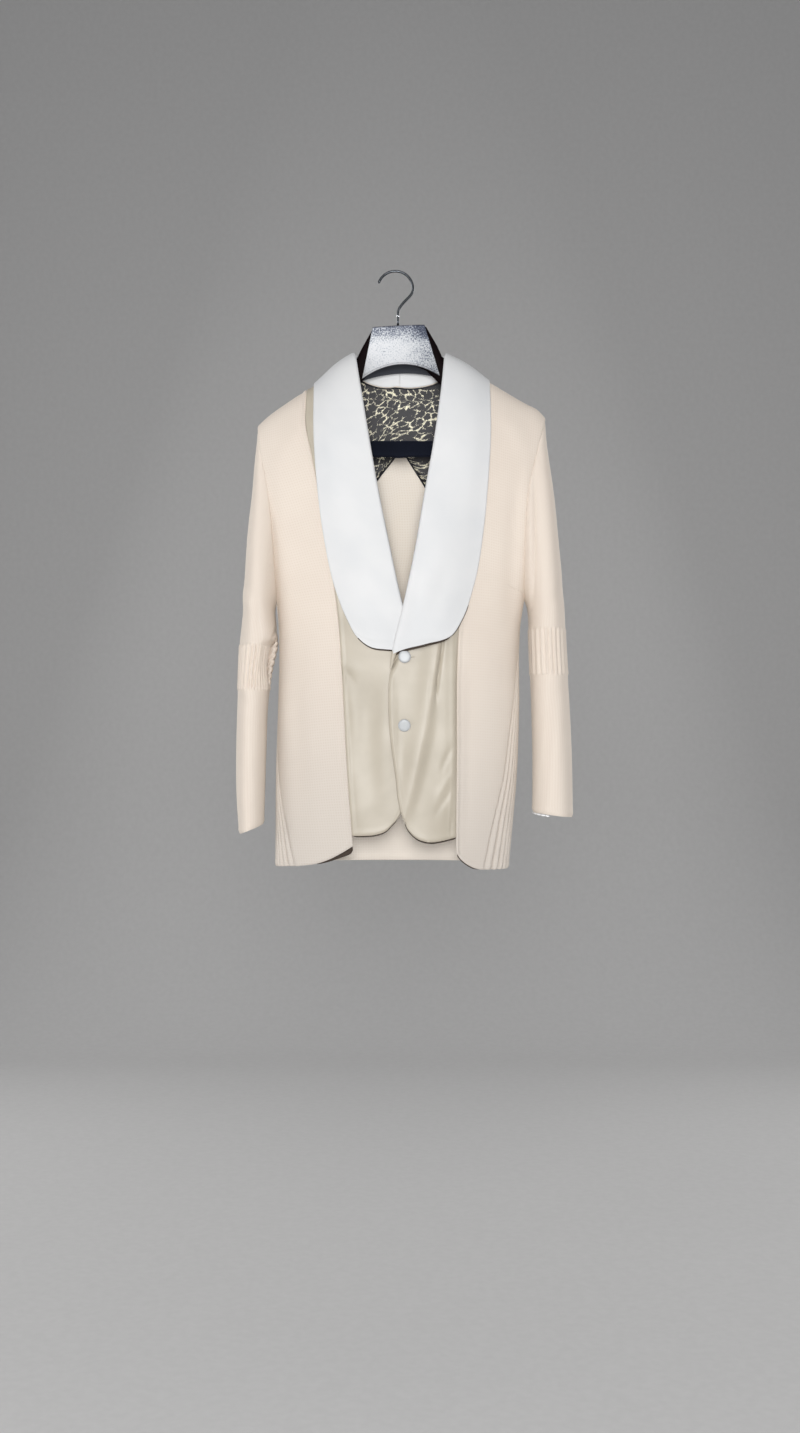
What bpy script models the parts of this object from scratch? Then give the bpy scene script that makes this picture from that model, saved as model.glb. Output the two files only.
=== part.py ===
"""Ivory knit dinner jacket with a white satin shawl collar, hanging on a contoured hanger.

Metres, +Z up, front facing -Y, the wearer's left side at +X. The origin is the inner top of the
hanger's hook, where a rail bears on it. Every cloth piece is an open sheet on the jacket's own
surface, thickened to its cloth: the body is a flattened ring at each height, closed over the
shoulder line, and each panel is a patch of that surface between its seams.
"""

import math

import bmesh
import bpy
import numpy as np
from mathutils import Vector

# Cloth
KNIT = 0.0020            # thickness of the knit
SATIN = 0.0012           # thickness of the satin
PRINT = 0.0010           # thickness of the printed lining
SEAM = 0.0008            # gap between panels that are sewn edge to edge
SIDE_SEAM = 0.0014       # gap at the side panels, where the cloth turns sharply
SHOULDER_SEAM = 0.0020   # gap along the shoulder line, where the panels meet at an angle
PLY = 0.0030             # middle of the front's cloth to the middle of the lapel's ply on it
OVERLAP = 0.0080         # the left front lies over the right front by this much
OVERLAP_FROM, OVERLAP_TO = 0.135, 0.036   # across this width the left front rises to it
OVERLAP_TOP, OVERLAP_FULL = -0.200, -0.450   # and over this height down from the neck

SIGN = {"right": -1, "left": 1}      # which way each of the wearer's sides lies along X

# Body of the jacket, by height: half width on each side, and how far front and back stand out
BODY = (
    ("height", "right", "left", "front", "back"),
    (-0.900, 0.1790, 0.1630, 0.066, 0.064),
    (-0.850, 0.1788, 0.1680, 0.065, 0.062),
    (-0.750, 0.1785, 0.1770, 0.064, 0.060),
    (-0.650, 0.1765, 0.1810, 0.064, 0.057),
    (-0.560, 0.1755, 0.1820, 0.066, 0.058),
    (-0.490, 0.1810, 0.1895, 0.068, 0.060),
    (-0.440, 0.1930, 0.2050, 0.067, 0.060),
    (-0.380, 0.2100, 0.2220, 0.064, 0.058),
    (-0.300, 0.2280, 0.2400, 0.060, 0.054),
    (-0.215, 0.2400, 0.2520, 0.056, 0.050),
)
SQUARENESS = 2.4         # exponent of the flattened ring: 2 is an ellipse
SHOULDER_DROP = 0.150    # height over which the sheet opens from the shoulder line to full depth
MID_HEIGHT = -0.400      # a panel's points are settled below the shoulder line from this height
HEIGHT_STEPS = 12        # in this many steps

# Shoulder line, by distance out from the middle: its height on each side
SHOULDER = (
    ("out", "right", "left"),
    (0.000, -0.0980, -0.0980),
    (0.035, -0.1100, -0.1065),
    (0.065, -0.1245, -0.1205),
    (0.120, -0.1680, -0.1550),
    (0.160, -0.1942, -0.1795),
    (0.195, -0.2195, -0.1995),
    (0.209, -0.2325, -0.2065),
    (0.224, -0.2470, -0.2220),
)
TIP = {"right": 0.2087, "left": 0.2225}          # shoulder tips, out from the middle
ARMPIT = {"right": -0.490, "left": -0.482}       # height of the underarm point

# Armhole seam, by its share of the height from underarm to shoulder tip: distance out
ARMHOLE = (
    ("up", "right", "left"),
    (0.00, 0.1810, 0.1905),
    (0.25, 0.1845, 0.1905),
    (0.50, 0.1895, 0.1945),
    (0.70, 0.1965, 0.2025),
    (0.85, 0.2045, 0.2120),
    (1.00, 0.2087, 0.2225),
)
BACK_ARMHOLE = 0.004     # the back armhole is cut this much wider half way up

# Seam between knit and satin on each front, by height: distance from the middle plane
FRONT_SEAM = {
    "right": (
        ("height", "out"),
        (-0.860, 0.0645), (-0.743, 0.0735), (-0.678, 0.0770), (-0.602, 0.0810), (-0.512, 0.0875),
        (-0.400, 0.1050), (-0.320, 0.1185), (-0.276, 0.1270), (-0.244, 0.1340), (-0.178, 0.1355),
    ),
    "left": (
        ("height", "out"),
        (-0.870, 0.0870), (-0.730, 0.0880), (-0.598, 0.0885), (-0.525, 0.0920), (-0.400, 0.1090),
        (-0.320, 0.1216), (-0.244, 0.1290), (-0.160, 0.1310),
    ),
}
SATIN_HEM = {"right": -0.8405, "left": -0.8424}   # height of each satin hem at that seam

# Lower edges, as (across, height) from the inner end outwards; across is world X
KNIT_HEM = {
    "right": ((-0.0648, -0.8555), (-0.0820, -0.8660), (-0.0979, -0.8744), (-0.1129, -0.8802),
              (-0.1461, -0.8860)),
    "left": ((0.0868, -0.8660), (0.0950, -0.8762), (0.1051, -0.8839), (0.1145, -0.8885),
             (0.1260, -0.8910)),
}
CUTAWAY = {
    "right": ((0.0000, -0.8165), (-0.0080, -0.8251), (-0.0159, -0.8330), (-0.0320, -0.8389),
              (-0.0460, -0.8402), (-0.0648, -0.8405)),
    "left": ((0.0110, -0.8190), (0.0160, -0.8301), (0.0306, -0.8445), (0.0500, -0.8494),
             (0.0680, -0.8470), (0.0870, -0.8424)),
}
# Front edge above the cutaway and the roll line above that, by height: world X
FRONT_EDGE = {
    "right": (
        ("height", "across"),
        (-0.8165, 0.0000), (-0.8059, 0.0064), (-0.7499, 0.0240), (-0.6828, 0.0310), (-0.6215, 0.0300),
        (-0.5690, 0.0264), (-0.4999, 0.0074), (-0.4111, -0.0121), (-0.3228, -0.0298),
        (-0.2630, -0.0401), (-0.1696, -0.0555), (-0.1230, -0.0629),
    ),
    "left": (
        ("height", "across"),
        (-0.8190, 0.0110), (-0.8059, 0.0064), (-0.7499, -0.0021), (-0.6828, -0.0105), (-0.6215, -0.0117),
        (-0.5698, -0.0060), (-0.5050, 0.0093), (-0.4232, 0.0264), (-0.3322, 0.0419),
        (-0.2629, 0.0542), (-0.1734, 0.0667), (-0.1235, 0.0719),
    ),
}
EDGE_INSET = 0.0033      # the front's own edge lies this far inside the fold of the lapel
EDGE_RUN = 0.010         # and comes out to the open edge over this height below the lapel

# Outer edge of each lapel, from its lower corner to the shoulder line: (across, height)
LAPEL = {
    "right": ((-0.0571, -0.5500), (-0.0714, -0.5252), (-0.0879, -0.4842), (-0.1066, -0.4021),
              (-0.1171, -0.3197), (-0.1220, -0.2432), (-0.1223, -0.1690)),
    "left": ((0.0749, -0.5491), (0.0943, -0.5214), (0.1109, -0.4761), (0.1275, -0.3813),
             (0.1333, -0.3195), (0.1374, -0.2447), (0.1367, -0.1650)),
}
# Lower edge of each lapel, from its point at the roll line outwards: (across, height)
LAPEL_FOOT = {
    "right": ((0.0264, -0.5740), (-0.0060, -0.5690), (-0.0407, -0.5632), (-0.0571, -0.5500)),
    "left": ((-0.0060, -0.5750), (0.0062, -0.5698), (0.0410, -0.5606), (0.0749, -0.5491)),
}
COLLAR_MIDDLE = 0.0045   # world X of the centre-back seam
COLLAR_FOLD = 0.0300     # drop of the collar's fold below the shoulder line's peak, at centre back
COLLAR_HEM = 0.0980      # and of its outer edge
STAND_SHARE = 0.50       # how far down the fall the neck seam lies at centre back
FACING_SHARE = 0.14      # and how far in the turned-under strip reaches on the lapels
NECK_LAP = 0.07          # the back's neck edge lies this share of the fall above the neck seam
LAPEL_ROWS, COLLAR_ROWS = 14, 8
CROWDING = 2.0           # the lapel's rows crowd towards the shoulder by this power
COLLAR_CROWDING = 1.5    # and the collar's
SHAWL_FINE = 24          # steps across each row of the shawl that its plies are read from
UNDER_COLUMNS, FOLD_COLUMNS, UPPER_COLUMNS = 2, 4, 5

# Side panel, by height: its front and back edges, in degrees round from centre front
SIDE_PANEL = (
    ("height", "right_front", "left_front", "right_back", "left_back"),
    (-0.8900, 52.0, 47.0, 122.0, 126.0),
    (-0.8020, 66.0, 53.6, 116.0, 121.0),
    (-0.7580, 76.0, 58.0, 113.5, 118.0),
    (-0.6930, 88.0, 62.5, 111.0, 114.0),
    (-0.6250, 92.0, 70.0, 107.5, 108.0),
    (-0.5610, 91.0, 82.0, 101.0, 100.0),
    (-0.4860, 87.5, 87.5, 92.5, 92.5),
)
PLEATS_FROM = -0.560     # the pleats open out from here to the hem
PLEAT_COUNT = 12
PLEAT_DEPTH = 0.0016     # half the height of a pleat at the hem
SIDE_SAG = 0.0030        # how much lower the side panel's hem hangs than its neighbours'
BACK_HEM = -0.8860
SIDE_ROWS = 6            # rows of each panel along the side panel
SIDE_TRIM = 0.30         # the side panel stops this many degrees short of each neighbour
KNIT_COLUMNS, SATIN_COLUMNS = 6, 6
BACK_COLUMNS, NECK_COLUMNS = 4, 12    # along each shoulder, and along the neckline
# Rows of each panel from underarm to shoulder tip, as shares of that height
ARM_UP = (0.0, 0.025, 0.09, 0.20, 0.35, 0.51, 0.66, 0.78, 0.87, 0.935, 0.972, 0.989, 1.0)

# Sleeves, by height: outer and inner edge of each, half depth, and how far back the middle lies
SLEEVE = (
    ("height", "right_outer", "right_inner", "left_outer", "left_inner", "half_depth", "middle"),
    (-0.222, 0.2095, 0.1900, 0.2235, 0.2000, 0.0160, 0.0000),
    (-0.250, 0.2105, 0.1860, 0.2245, 0.1970, 0.0340, 0.0000),
    (-0.290, 0.2135, 0.1820, 0.2285, 0.1930, 0.0470, 0.0000),
    (-0.340, 0.2165, 0.1790, 0.2342, 0.1900, 0.0550, 0.0020),
    (-0.400, 0.2215, 0.1790, 0.2400, 0.1900, 0.0595, 0.0030),
    (-0.460, 0.2255, 0.1820, 0.2462, 0.1930, 0.0610, 0.0040),
    (-0.500, 0.2278, 0.1845, 0.2495, 0.1975, 0.0600, 0.0040),
    (-0.560, 0.2345, 0.1805, 0.2522, 0.1995, 0.0560, 0.0030),
    (-0.600, 0.2362, 0.1850, 0.2545, 0.2008, 0.0530, 0.0010),
    (-0.640, 0.2372, 0.1935, 0.2565, 0.2020, 0.0500, -0.0020),
    (-0.720, 0.2384, 0.1965, 0.2595, 0.2035, 0.0480, -0.0100),
    (-0.780, 0.2375, 0.1980, 0.2602, 0.2030, 0.0465, -0.0160),
    (-0.840, 0.2331, 0.1995, 0.2604, 0.2018, 0.0450, -0.0220),
)
CUFF = {"right": (-0.8393, -0.8258), "left": (-0.8145, -0.8070)}   # height of cuff: outer, inner
LEVEL = -0.530           # from here down the sleeve's rings are level
SLEEVE_SQUARENESS = 2.2
ARMHOLE_GAP, ARMPIT_GAP = 0.0013, 0.0026   # sleeve edge to body edge, at the tip and underarm
SLEEVE_ROWS = (0.0, 0.05, 0.13, 0.25, 0.38, 0.50, 0.62, 0.74, 0.87, 1.0)
LEVEL_ROW = 0.50         # the row at LEVEL
BLEND_ROW = 0.30         # by this row the armhole's shape has run out into the sleeve's

# Printed half lining: (across, height) of its edge, from the apex of the V outwards and down
YOKE_EDGE = {
    "right": ((-0.0030, -0.2690), (-0.0316, -0.3056), (-0.0620, -0.3560), (-0.1000, -0.4300),
              (-0.1400, -0.4900)),
    "left": ((0.0145, -0.2690), (0.0438, -0.3154), (0.0740, -0.3680), (0.1100, -0.4360),
             (0.1480, -0.4900)),
}
YOKE_CLEAR = 0.0022      # air between the lining and the back
YOKE_BELOW = 0.040       # the lining starts this share of the fall below the collar's seam
YOKE_IN, YOKE_DROP = 0.020, 0.024    # and keeps this far in from the armhole and the shoulder
YOKE_SIDES, YOKE_NECK, YOKE_ROWS = 4, 8, 8      # columns each side of the neckline, on it, and rows

# Hanger
WIRE = 0.0019            # radius of the hook's wire
HOOK_RADIUS = 0.0264     # to the middle of the wire
HOOK_MIDDLE = -0.0025    # world X of the hook's round part
HOOK_TIP, HOOK_BACK = 162.0, -5.0     # the round part runs over the top between these angles
HOOK_POINTS, BEND_POINTS = 22, 12
STEM_ACROSS = 0.0015
STEM_STRAIGHT = -0.0620  # the wire runs straight down from here
BEND_START, BEND_END = (-0.0010, -0.0105), (0.0, 0.0150)    # handles of the bend between them
STEM_CLEAR = 0.0003      # the stem ends this far above the hanger's neck
HANGER_MIDDLE = 0.0035   # world X of the hanger's middle
# Neck of the hanger, by distance out from its middle: height of its top and underside
NECK = (
    ("out", "right", "left", "underside", "half"),
    (0.0000, -0.0830, -0.0830, -0.1370, 0.0052),
    (0.0200, -0.0838, -0.0820, -0.1390, 0.0052),
    (0.0400, -0.0848, -0.0812, -0.1470, 0.0052),
    (0.0480, -0.0990, -0.0950, -0.1550, 0.0054),
    (0.0570, -0.1150, -0.1105, -0.1640, 0.0057),
    (0.0640, -0.1295, -0.1262, -0.1700, 0.0060),
)
# Arm of the hanger, by distance out: depth below the cloth, height of its underside
ARM = (
    ("out", "below", "underside", "half"),
    (0.0720, 0.0058, -0.1740, 0.0064),
    (0.0850, 0.0054, -0.1800, 0.0080),
    (0.1200, 0.0018, -0.2000, 0.0100),
    (0.1500, 0.0024, -0.2240, 0.0120),
    (0.1630, 0.0034, -0.2320, 0.0130),
    (0.1645, 0.0034, -0.2810, 0.0130),
    (0.1800, 0.0038, -0.2830, 0.0130),
    (0.1900, 0.0044, -0.2780, 0.0115),
    (0.1980, 0.0050, -0.2620, 0.0080),
)
HANGER_SIDES = 12
BAR_TOP, BAR_BOTTOM = -0.2528, -0.2768
BAR_END = 0.1627         # half length of the bar
BAR_THICK = 0.0060
BAR_ROUND = 0.0015       # radius of its edges
CARD = 0.0009            # thickness of the silver neck piece
CARD_TOP = {"right": (-0.0364, -0.0838), "left": (0.0411, -0.0802)}
CARD_FOOT = {"right": (-0.0522, -0.1615), "left": (0.0642, -0.1570)}
CARD_ARCH = 0.0165       # how far the middle of its lower edge arches up
CARD_BOW_TOP, CARD_BOW_FOOT = 0.0030, 0.0150     # how far each wall bows out at the middle
CARD_SIDE = 0.0070       # half the distance between its walls at the sides
CARD_FLARE = 0.7         # how fast the bow grows from the top down
RIDGE_SHARE = 0.34       # the top fold's two creases, as a share of that distance
CARD_COLUMNS, CARD_ROWS = 11, 5
HOLE_REACH = 0.003       # a sheet's faces within this of a hole's middle are left out

# Covered buttons: (across, height) of the middle
BUTTONS = {"button_upper": (0.0112, -0.5790), "button_lower": (0.0108, -0.6788)}
BUTTON_RADIUS = 0.0092
BUTTON_THICK = 0.0036
BUTTON_CLEAR = 0.0006    # between a button's back and the satin
BUTTON_SIDES = 24
# Section of a button from its crown to the middle of its back, in radii and thicknesses
BUTTON_PROFILE = (
    ("out", "up"),
    (0.00, 1.00),
    (0.45, 0.97),
    (0.78, 0.84),
    (0.95, 0.60),
    (1.00, 0.38),
    (0.95, 0.12),
    (0.86, 0.00),
    (0.00, 0.00),
)

IVORY = (0.86, 0.77, 0.66)
SATIN_IVORY = (0.78, 0.73, 0.60)
WHITE = (0.86, 0.87, 0.89)
PRINTED = (0.35, 0.33, 0.30)
BURGUNDY = (0.025, 0.008, 0.012)
FLOCK = (0.006, 0.007, 0.012)
SILVER = (0.75, 0.76, 0.80)
STEEL = (0.10, 0.11, 0.12)
WELD = 0.00001           # points nearer than this are one


# --- the jacket's surface -----------------------------------------------------------------------

def spline(table, name, at):
    """A column of a table at any key: a cubic through its rows, level past its ends."""
    names, *rows = table
    rows = np.array(sorted(rows))
    keys, values = rows[:, 0], rows[:, names.index(name)]
    slopes = np.gradient(values, keys)
    at = np.clip(at, keys[0], keys[-1])
    i = np.clip(np.searchsorted(keys, at) - 1, 0, len(keys) - 2)
    step = keys[i + 1] - keys[i]
    t = (at - keys[i]) / step
    from_left = (1 + 2 * t) * (1 - t) ** 2 * values[i] + t * (1 - t) ** 2 * step * slopes[i]
    from_right = t * t * (3 - 2 * t) * values[i + 1] - t * t * (1 - t) * step * slopes[i + 1]
    return from_left + from_right


def both(table, x, at):
    """A left-and-right column pair, read on the side that x is on."""
    return np.where(x < 0, spline(table, "right", at), spline(table, "left", at))


def shoulder(x):
    return both(SHOULDER, x, np.abs(x))


def surface(angle, z):
    """Point of the body at an angle round from centre front, in degrees, left side positive."""
    angle, z = np.radians(np.asarray(angle, float)), np.asarray(z, float)
    across, along = np.sin(angle), np.cos(angle)
    reach = (np.abs(across) ** SQUARENESS + np.abs(along) ** SQUARENESS) ** (-1 / SQUARENESS)
    x = both(BODY, across, z) * across * reach
    depth = np.where(along > 0, spline(BODY, "front", z), spline(BODY, "back", z))
    drop = np.clip((shoulder(x) - z) / SHOULDER_DROP, 0, 1)
    opening = np.sqrt(np.maximum(0, 1 - (1 - drop) ** 2))
    return np.stack(np.broadcast_arrays(x, -depth * along * reach * opening, z), axis=-1)


def angle_at(x, z, face):
    """Angle of the point at x on the front (face -1) or back (face 1) of the body."""
    x, z = np.asarray(x, float), np.asarray(z, float)
    share = np.clip(np.abs(x) / both(BODY, x, z), 0, 1)
    depth = (1 - share ** SQUARENESS) ** (1 / SQUARENESS)
    return np.sign(x) * np.degrees(np.arctan2(share, -face * depth))


def along(points, shares):
    """Smooth run through a few points, at shares of its length."""
    points = np.array(points, float)
    steps = np.linalg.norm(np.diff(points, axis=0), axis=1)
    keys = np.concatenate([[0], np.cumsum(steps)]) / steps.sum()
    run = [("key", "first", "second")] + [(k, *p) for k, p in zip(keys, points)]
    return np.stack([spline(run, "first", shares), spline(run, "second", shares)], axis=-1)


def on_face(points, face):
    """(across, height) points as (angle, height) points."""
    points = np.array(points, float)
    return np.stack([angle_at(points[..., 0], points[..., 1], face), points[..., 1]], axis=-1)


def patch(lower, upper, inner, outer, shares):
    """Grid of pairs between four edges; shares are the rows' places from foot to top."""
    across = np.linspace(0, 1, len(lower))[None, :, None]
    up = np.asarray(shares)[:, None, None]
    ends = (1 - up) * lower[None] + up * upper[None]
    sides = (1 - across) * inner[:, None] + across * outer[:, None]
    corners = ((1 - up) * ((1 - across) * lower[0] + across * lower[-1])
               + up * ((1 - across) * upper[0] + across * upper[-1]))
    return ends + sides - corners


def panel(lower, upper, inner, outer, shares):
    """Points of a panel between four (angle, height) edges, its rows kept below the shoulder."""
    dropped = []
    for edge in (lower, upper, inner, outer):
        x = surface(edge[:, 0], edge[:, 1])[:, 0]
        dropped.append(np.stack([edge[:, 0], shoulder(x) - edge[:, 1]], axis=-1))
    grid = patch(*dropped, shares)
    angle, drop = grid[..., 0], np.maximum(grid[..., 1], 0)
    z = np.full(angle.shape, MID_HEIGHT)
    for _ in range(HEIGHT_STEPS):
        z = shoulder(surface(angle, z)[..., 0]) - drop
    return surface(angle, z)


def overlapped(points):
    """The left front, raised off the right front where it lies over it."""
    rise = np.clip((OVERLAP_FROM - points[..., 0]) / (OVERLAP_FROM - OVERLAP_TO), 0, 1)
    fall = np.clip((OVERLAP_TOP - points[..., 2]) / (OVERLAP_TOP - OVERLAP_FULL), 0, 1)
    moved = points.copy()
    moved[..., 1] -= OVERLAP * rise * rise * (3 - 2 * rise) * fall * fall * (3 - 2 * fall)
    return moved


def trimmed(points, lower=0.0, upper=0.0, inner=0.0, outer=0.0):
    """A grid of points with its edges drawn in by these amounts, for the seam gaps."""
    out = points.copy()
    for row, near, amount in ((0, 1, lower), (-1, -2, upper)):
        step = points[near] - points[row]
        out[row] += amount * step / np.linalg.norm(step, axis=-1, keepdims=True)
    for column, near, amount in ((0, 1, inner), (-1, -2, outer)):
        step = out[:, near] - out[:, column]
        out[:, column] += amount * step / np.linalg.norm(step, axis=-1, keepdims=True)
    return out


def normals(points):
    """Unit normal at each point of a grid, on the right of its rows going up."""
    down_rows = np.gradient(points, axis=0)
    along_rows = np.gradient(points, axis=1)
    out = np.cross(along_rows, down_rows)
    return out / np.linalg.norm(out, axis=-1, keepdims=True)


# --- making solids ------------------------------------------------------------------------------

for thing in list(bpy.data.objects):
    bpy.data.objects.remove(thing)
jacket = bpy.data.collections.new("dinner_jacket")
bpy.context.scene.collection.children.link(jacket)


def add_part(name, data, colour, roughness, metallic=0.0):
    """A named object of a mesh or curve, with its own material."""
    part = bpy.data.objects.new(name, data)
    jacket.objects.link(part)
    finish = bpy.data.materials.new(name)
    finish.use_nodes = True
    shader = finish.node_tree.nodes["Principled BSDF"]
    shader.inputs["Base Color"].default_value = (*colour, 1.0)
    shader.inputs["Roughness"].default_value = roughness
    shader.inputs["Metallic"].default_value = metallic
    data.materials.append(finish)
    return part


def sheet(name, points, thick, colour, roughness, closed=False, holes=(), metallic=0.0):
    """A grid bent to rows of points and thickened; closed joins its first and last columns."""
    rows, columns = points.shape[0] - 1, points.shape[1] - 1
    cloth = bmesh.new()
    bmesh.ops.create_grid(cloth, x_segments=columns, y_segments=rows, size=1.0)
    for vertex in cloth.verts:
        column = round((vertex.co.x + 1) / 2 * columns)
        row = round((vertex.co.y + 1) / 2 * rows)
        vertex.co = points[row, column]
    if holes:
        middles = [face for face in cloth.faces
                   if any((face.calc_center_median() - hole).length < HOLE_REACH for hole in holes)]
        bmesh.ops.delete(cloth, geom=middles, context="FACES_ONLY")
    if closed:
        bmesh.ops.remove_doubles(cloth, verts=cloth.verts, dist=WELD)
    mesh = bpy.data.meshes.new(name)
    cloth.to_mesh(mesh)
    cloth.free()
    mesh.shade_smooth()
    part = add_part(name, mesh, colour, roughness, metallic)
    wall = part.modifiers.new("wall", "SOLIDIFY")
    wall.thickness = thick
    wall.offset = 0.0
    return part


# --- body panels --------------------------------------------------------------------------------

def armhole_edge(side, face):
    """(angle, height) up the armhole from the underarm point to the shoulder tip."""
    tip_height = float(shoulder(SIGN[side] * TIP[side]))
    up = np.array(ARM_UP)
    z = ARMPIT[side] + (tip_height - ARMPIT[side]) * up
    out = spline(ARMHOLE, side, up) + (face > 0) * BACK_ARMHOLE * np.sin(math.pi * up)
    return on_face(np.stack([SIGN[side] * out, z], axis=-1), face)


def side_edge(side, face):
    """(angle, height) up a front or back panel's outer edge: the side panel, then the armhole."""
    name = side + ("_front" if face < 0 else "_back")
    foot = KNIT_HEM[side][-1][1] if face < 0 else BACK_HEM
    z = np.linspace(foot, ARMPIT[side], SIDE_ROWS + 1)
    seam = np.stack([SIGN[side] * spline(SIDE_PANEL, name, z), z], axis=-1)
    return np.concatenate([seam, armhole_edge(side, face)[1:]])


def shares_of(edge):
    """Each row's share of the height along an edge."""
    return (edge[:, 1] - edge[0, 1]) / (edge[-1, 1] - edge[0, 1])


def seam_points(side):
    """(across, height) up the seam between knit and satin, with the knit panel's rows."""
    shares = shares_of(side_edge(side, -1))
    foot = KNIT_HEM[side][0][1]
    out = spline(FRONT_SEAM[side], "out", -0.17)
    top = float(shoulder(SIGN[side] * out))
    z = foot + (top - foot) * shares
    return np.stack([SIGN[side] * spline(FRONT_SEAM[side], "out", z), z], axis=-1)


def shoulder_run(first, last, count):
    """(across, height) along the shoulder line."""
    x = np.linspace(first, last, count)
    return np.stack([x, shoulder(x)], axis=-1)


def knit_front(side):
    outer = side_edge(side, -1)
    seam = seam_points(side)
    lower = on_face(along(KNIT_HEM[side], np.linspace(0, 1, KNIT_COLUMNS + 1)), -1)
    seam[0] = KNIT_HEM[side][0]
    upper = on_face(shoulder_run(seam[-1, 0], SIGN[side] * TIP[side], KNIT_COLUMNS + 1), -1)
    inner = on_face(seam, -1)
    lower[-1], upper[-1], upper[0], lower[0] = outer[0], outer[-1], inner[-1], inner[0]
    points = panel(lower, upper, inner, outer, shares_of(outer))
    if side == "left":
        points = overlapped(points)
    return trimmed(points, upper=SHOULDER_SEAM / 2, inner=SEAM / 2, outer=SIDE_SEAM / 2)


def front_edge(side, z):
    """World X of the front's own edge: inside the lapel's fold above the lapel's foot."""
    x = spline(FRONT_EDGE[side], "across", z)
    above = np.clip((z - LAPEL_FOOT[side][0][1]) / EDGE_RUN + 1, 0, 1)
    return x + SIGN[side] * EDGE_INSET * above


def satin_front(side):
    seam = seam_points(side)
    first, second = on_face(seam[:2], -1)
    shares = shares_of(seam)
    share = (SATIN_HEM[side] - seam[0, 1]) / (seam[1, 1] - seam[0, 1])
    outer = on_face(seam, -1)
    outer[0] = first + share * (second - first)
    lower = on_face(along(CUTAWAY[side], np.linspace(0, 1, SATIN_COLUMNS + 1)), -1)
    neck = FRONT_EDGE[side][-1][0]
    z = CUTAWAY[side][0][1] + (neck - CUTAWAY[side][0][1]) * shares
    x = front_edge(side, z)
    x[0] = CUTAWAY[side][0][0]
    z[-1] = float(shoulder(x[-1]))
    inner = on_face(np.stack([x, z], axis=-1), -1)
    upper = on_face(shoulder_run(x[-1], seam[-1, 0], SATIN_COLUMNS + 1), -1)
    lower[-1], lower[0], upper[0], upper[-1] = outer[0], inner[0], inner[-1], outer[-1]
    points = panel(lower, upper, inner, outer, shares)
    if side == "left":
        points = overlapped(points)
    return trimmed(points, upper=SHOULDER_SEAM / 2, outer=SEAM / 2)


def collar_line(side, turn, share):
    """(across, height) on the back at a share from fold to hem, turn 0 at the shoulder, 1 at centre."""
    cosine, sine = np.cos(turn * math.pi / 2), np.sin(turn * math.pi / 2)
    fold_x, hem_x = FRONT_EDGE[side][-1][1], LAPEL[side][-1][0]
    x = COLLAR_MIDDLE + (fold_x + share * (hem_x - fold_x) - COLLAR_MIDDLE) * cosine
    drop = (1 - share) * COLLAR_FOLD * sine ** 2 + share * COLLAR_HEM * sine ** 2
    return np.stack([x, shoulder(x) - drop], axis=-1)


def collar_share(turn):
    """How far down the fall the neck seam lies."""
    return FACING_SHARE + (STAND_SHARE - FACING_SHARE) * np.sin(turn * math.pi / 2)


def neck_edge(count, lower, crowding):
    """(across, height) of a neckline on the back from right to left, this share below the seam."""
    halves = []
    for side in ("right", "left"):
        turn = np.linspace(0, 1, count // 2 + 1) ** crowding
        halves.append(collar_line(side, turn, collar_share(turn) + lower))
    middle = (halves[0][-1] + halves[1][-1]) / 2
    return np.concatenate([halves[0][:-1], [middle], halves[1][-2::-1]])


def from_right(points):
    """Angles of the wearer's right side counted on past the centre back."""
    turned = np.array(points)
    turned[..., 0] = np.mod(turned[..., 0], 360)
    return turned


def back_rows():
    """The back panel's two side edges, row by row, and the rows' places up the back."""
    right = from_right(side_edge("right", 1))
    left = side_edge("left", 1)
    return right, left, (shares_of(right) + shares_of(left)) / 2


def back():
    right, left, shares = back_rows()
    neck = neck_edge(NECK_COLUMNS, -NECK_LAP, COLLAR_CROWDING)
    neck[0, 1], neck[-1, 1] = shoulder(neck[0, 0]), shoulder(neck[-1, 0])
    upper = np.concatenate([
        shoulder_run(-TIP["right"], neck[0, 0], BACK_COLUMNS + 1)[:-1], neck,
        shoulder_run(neck[-1, 0], TIP["left"], BACK_COLUMNS + 1)[1:]])
    upper = from_right(on_face(upper, 1))
    upper[0], upper[-1] = right[-1], left[-1]
    lower = right[0] + np.linspace(0, 1, len(upper))[:, None] * (left[0] - right[0])
    points = panel(lower, upper, right, left, shares)
    return trimmed(points, upper=SHOULDER_SEAM / 2, inner=SIDE_SEAM / 2, outer=SIDE_SEAM / 2)


def side_panel(side):
    """The side panel: its pleats are folds that fade out upwards."""
    front = side_edge(side, -1)[:SIDE_ROWS + 1]
    rear = side_edge(side, 1)[:SIDE_ROWS + 1]
    front[:, 0] += SIGN[side] * SIDE_TRIM
    rear[:, 0] -= SIGN[side] * SIDE_TRIM
    columns = 2 * PLEAT_COUNT
    place = np.linspace(0, 1, columns + 1)[:, None]
    lower = front[0] + place * (rear[0] - front[0])
    lower[:, 1] -= SIDE_SAG * np.sin(math.pi * place[:, 0])
    upper = front[-1] + place * (rear[-1] - front[-1])
    shares = np.linspace(0, 1, SIDE_ROWS + 1)
    points = panel(lower, upper, front, rear, shares)
    out = normals(points) * SIGN[side]
    fade = np.clip((PLEATS_FROM - points[..., 2]) / (PLEATS_FROM - BACK_HEM), 0, 1)
    ridge = np.where(np.arange(columns + 1) % 2, 1.0, -1.0)
    ridge[[0, -1]] = 0.0
    return points + out * (PLEAT_DEPTH * fade * ridge)[..., None]


# --- sleeves ------------------------------------------------------------------------------------

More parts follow.
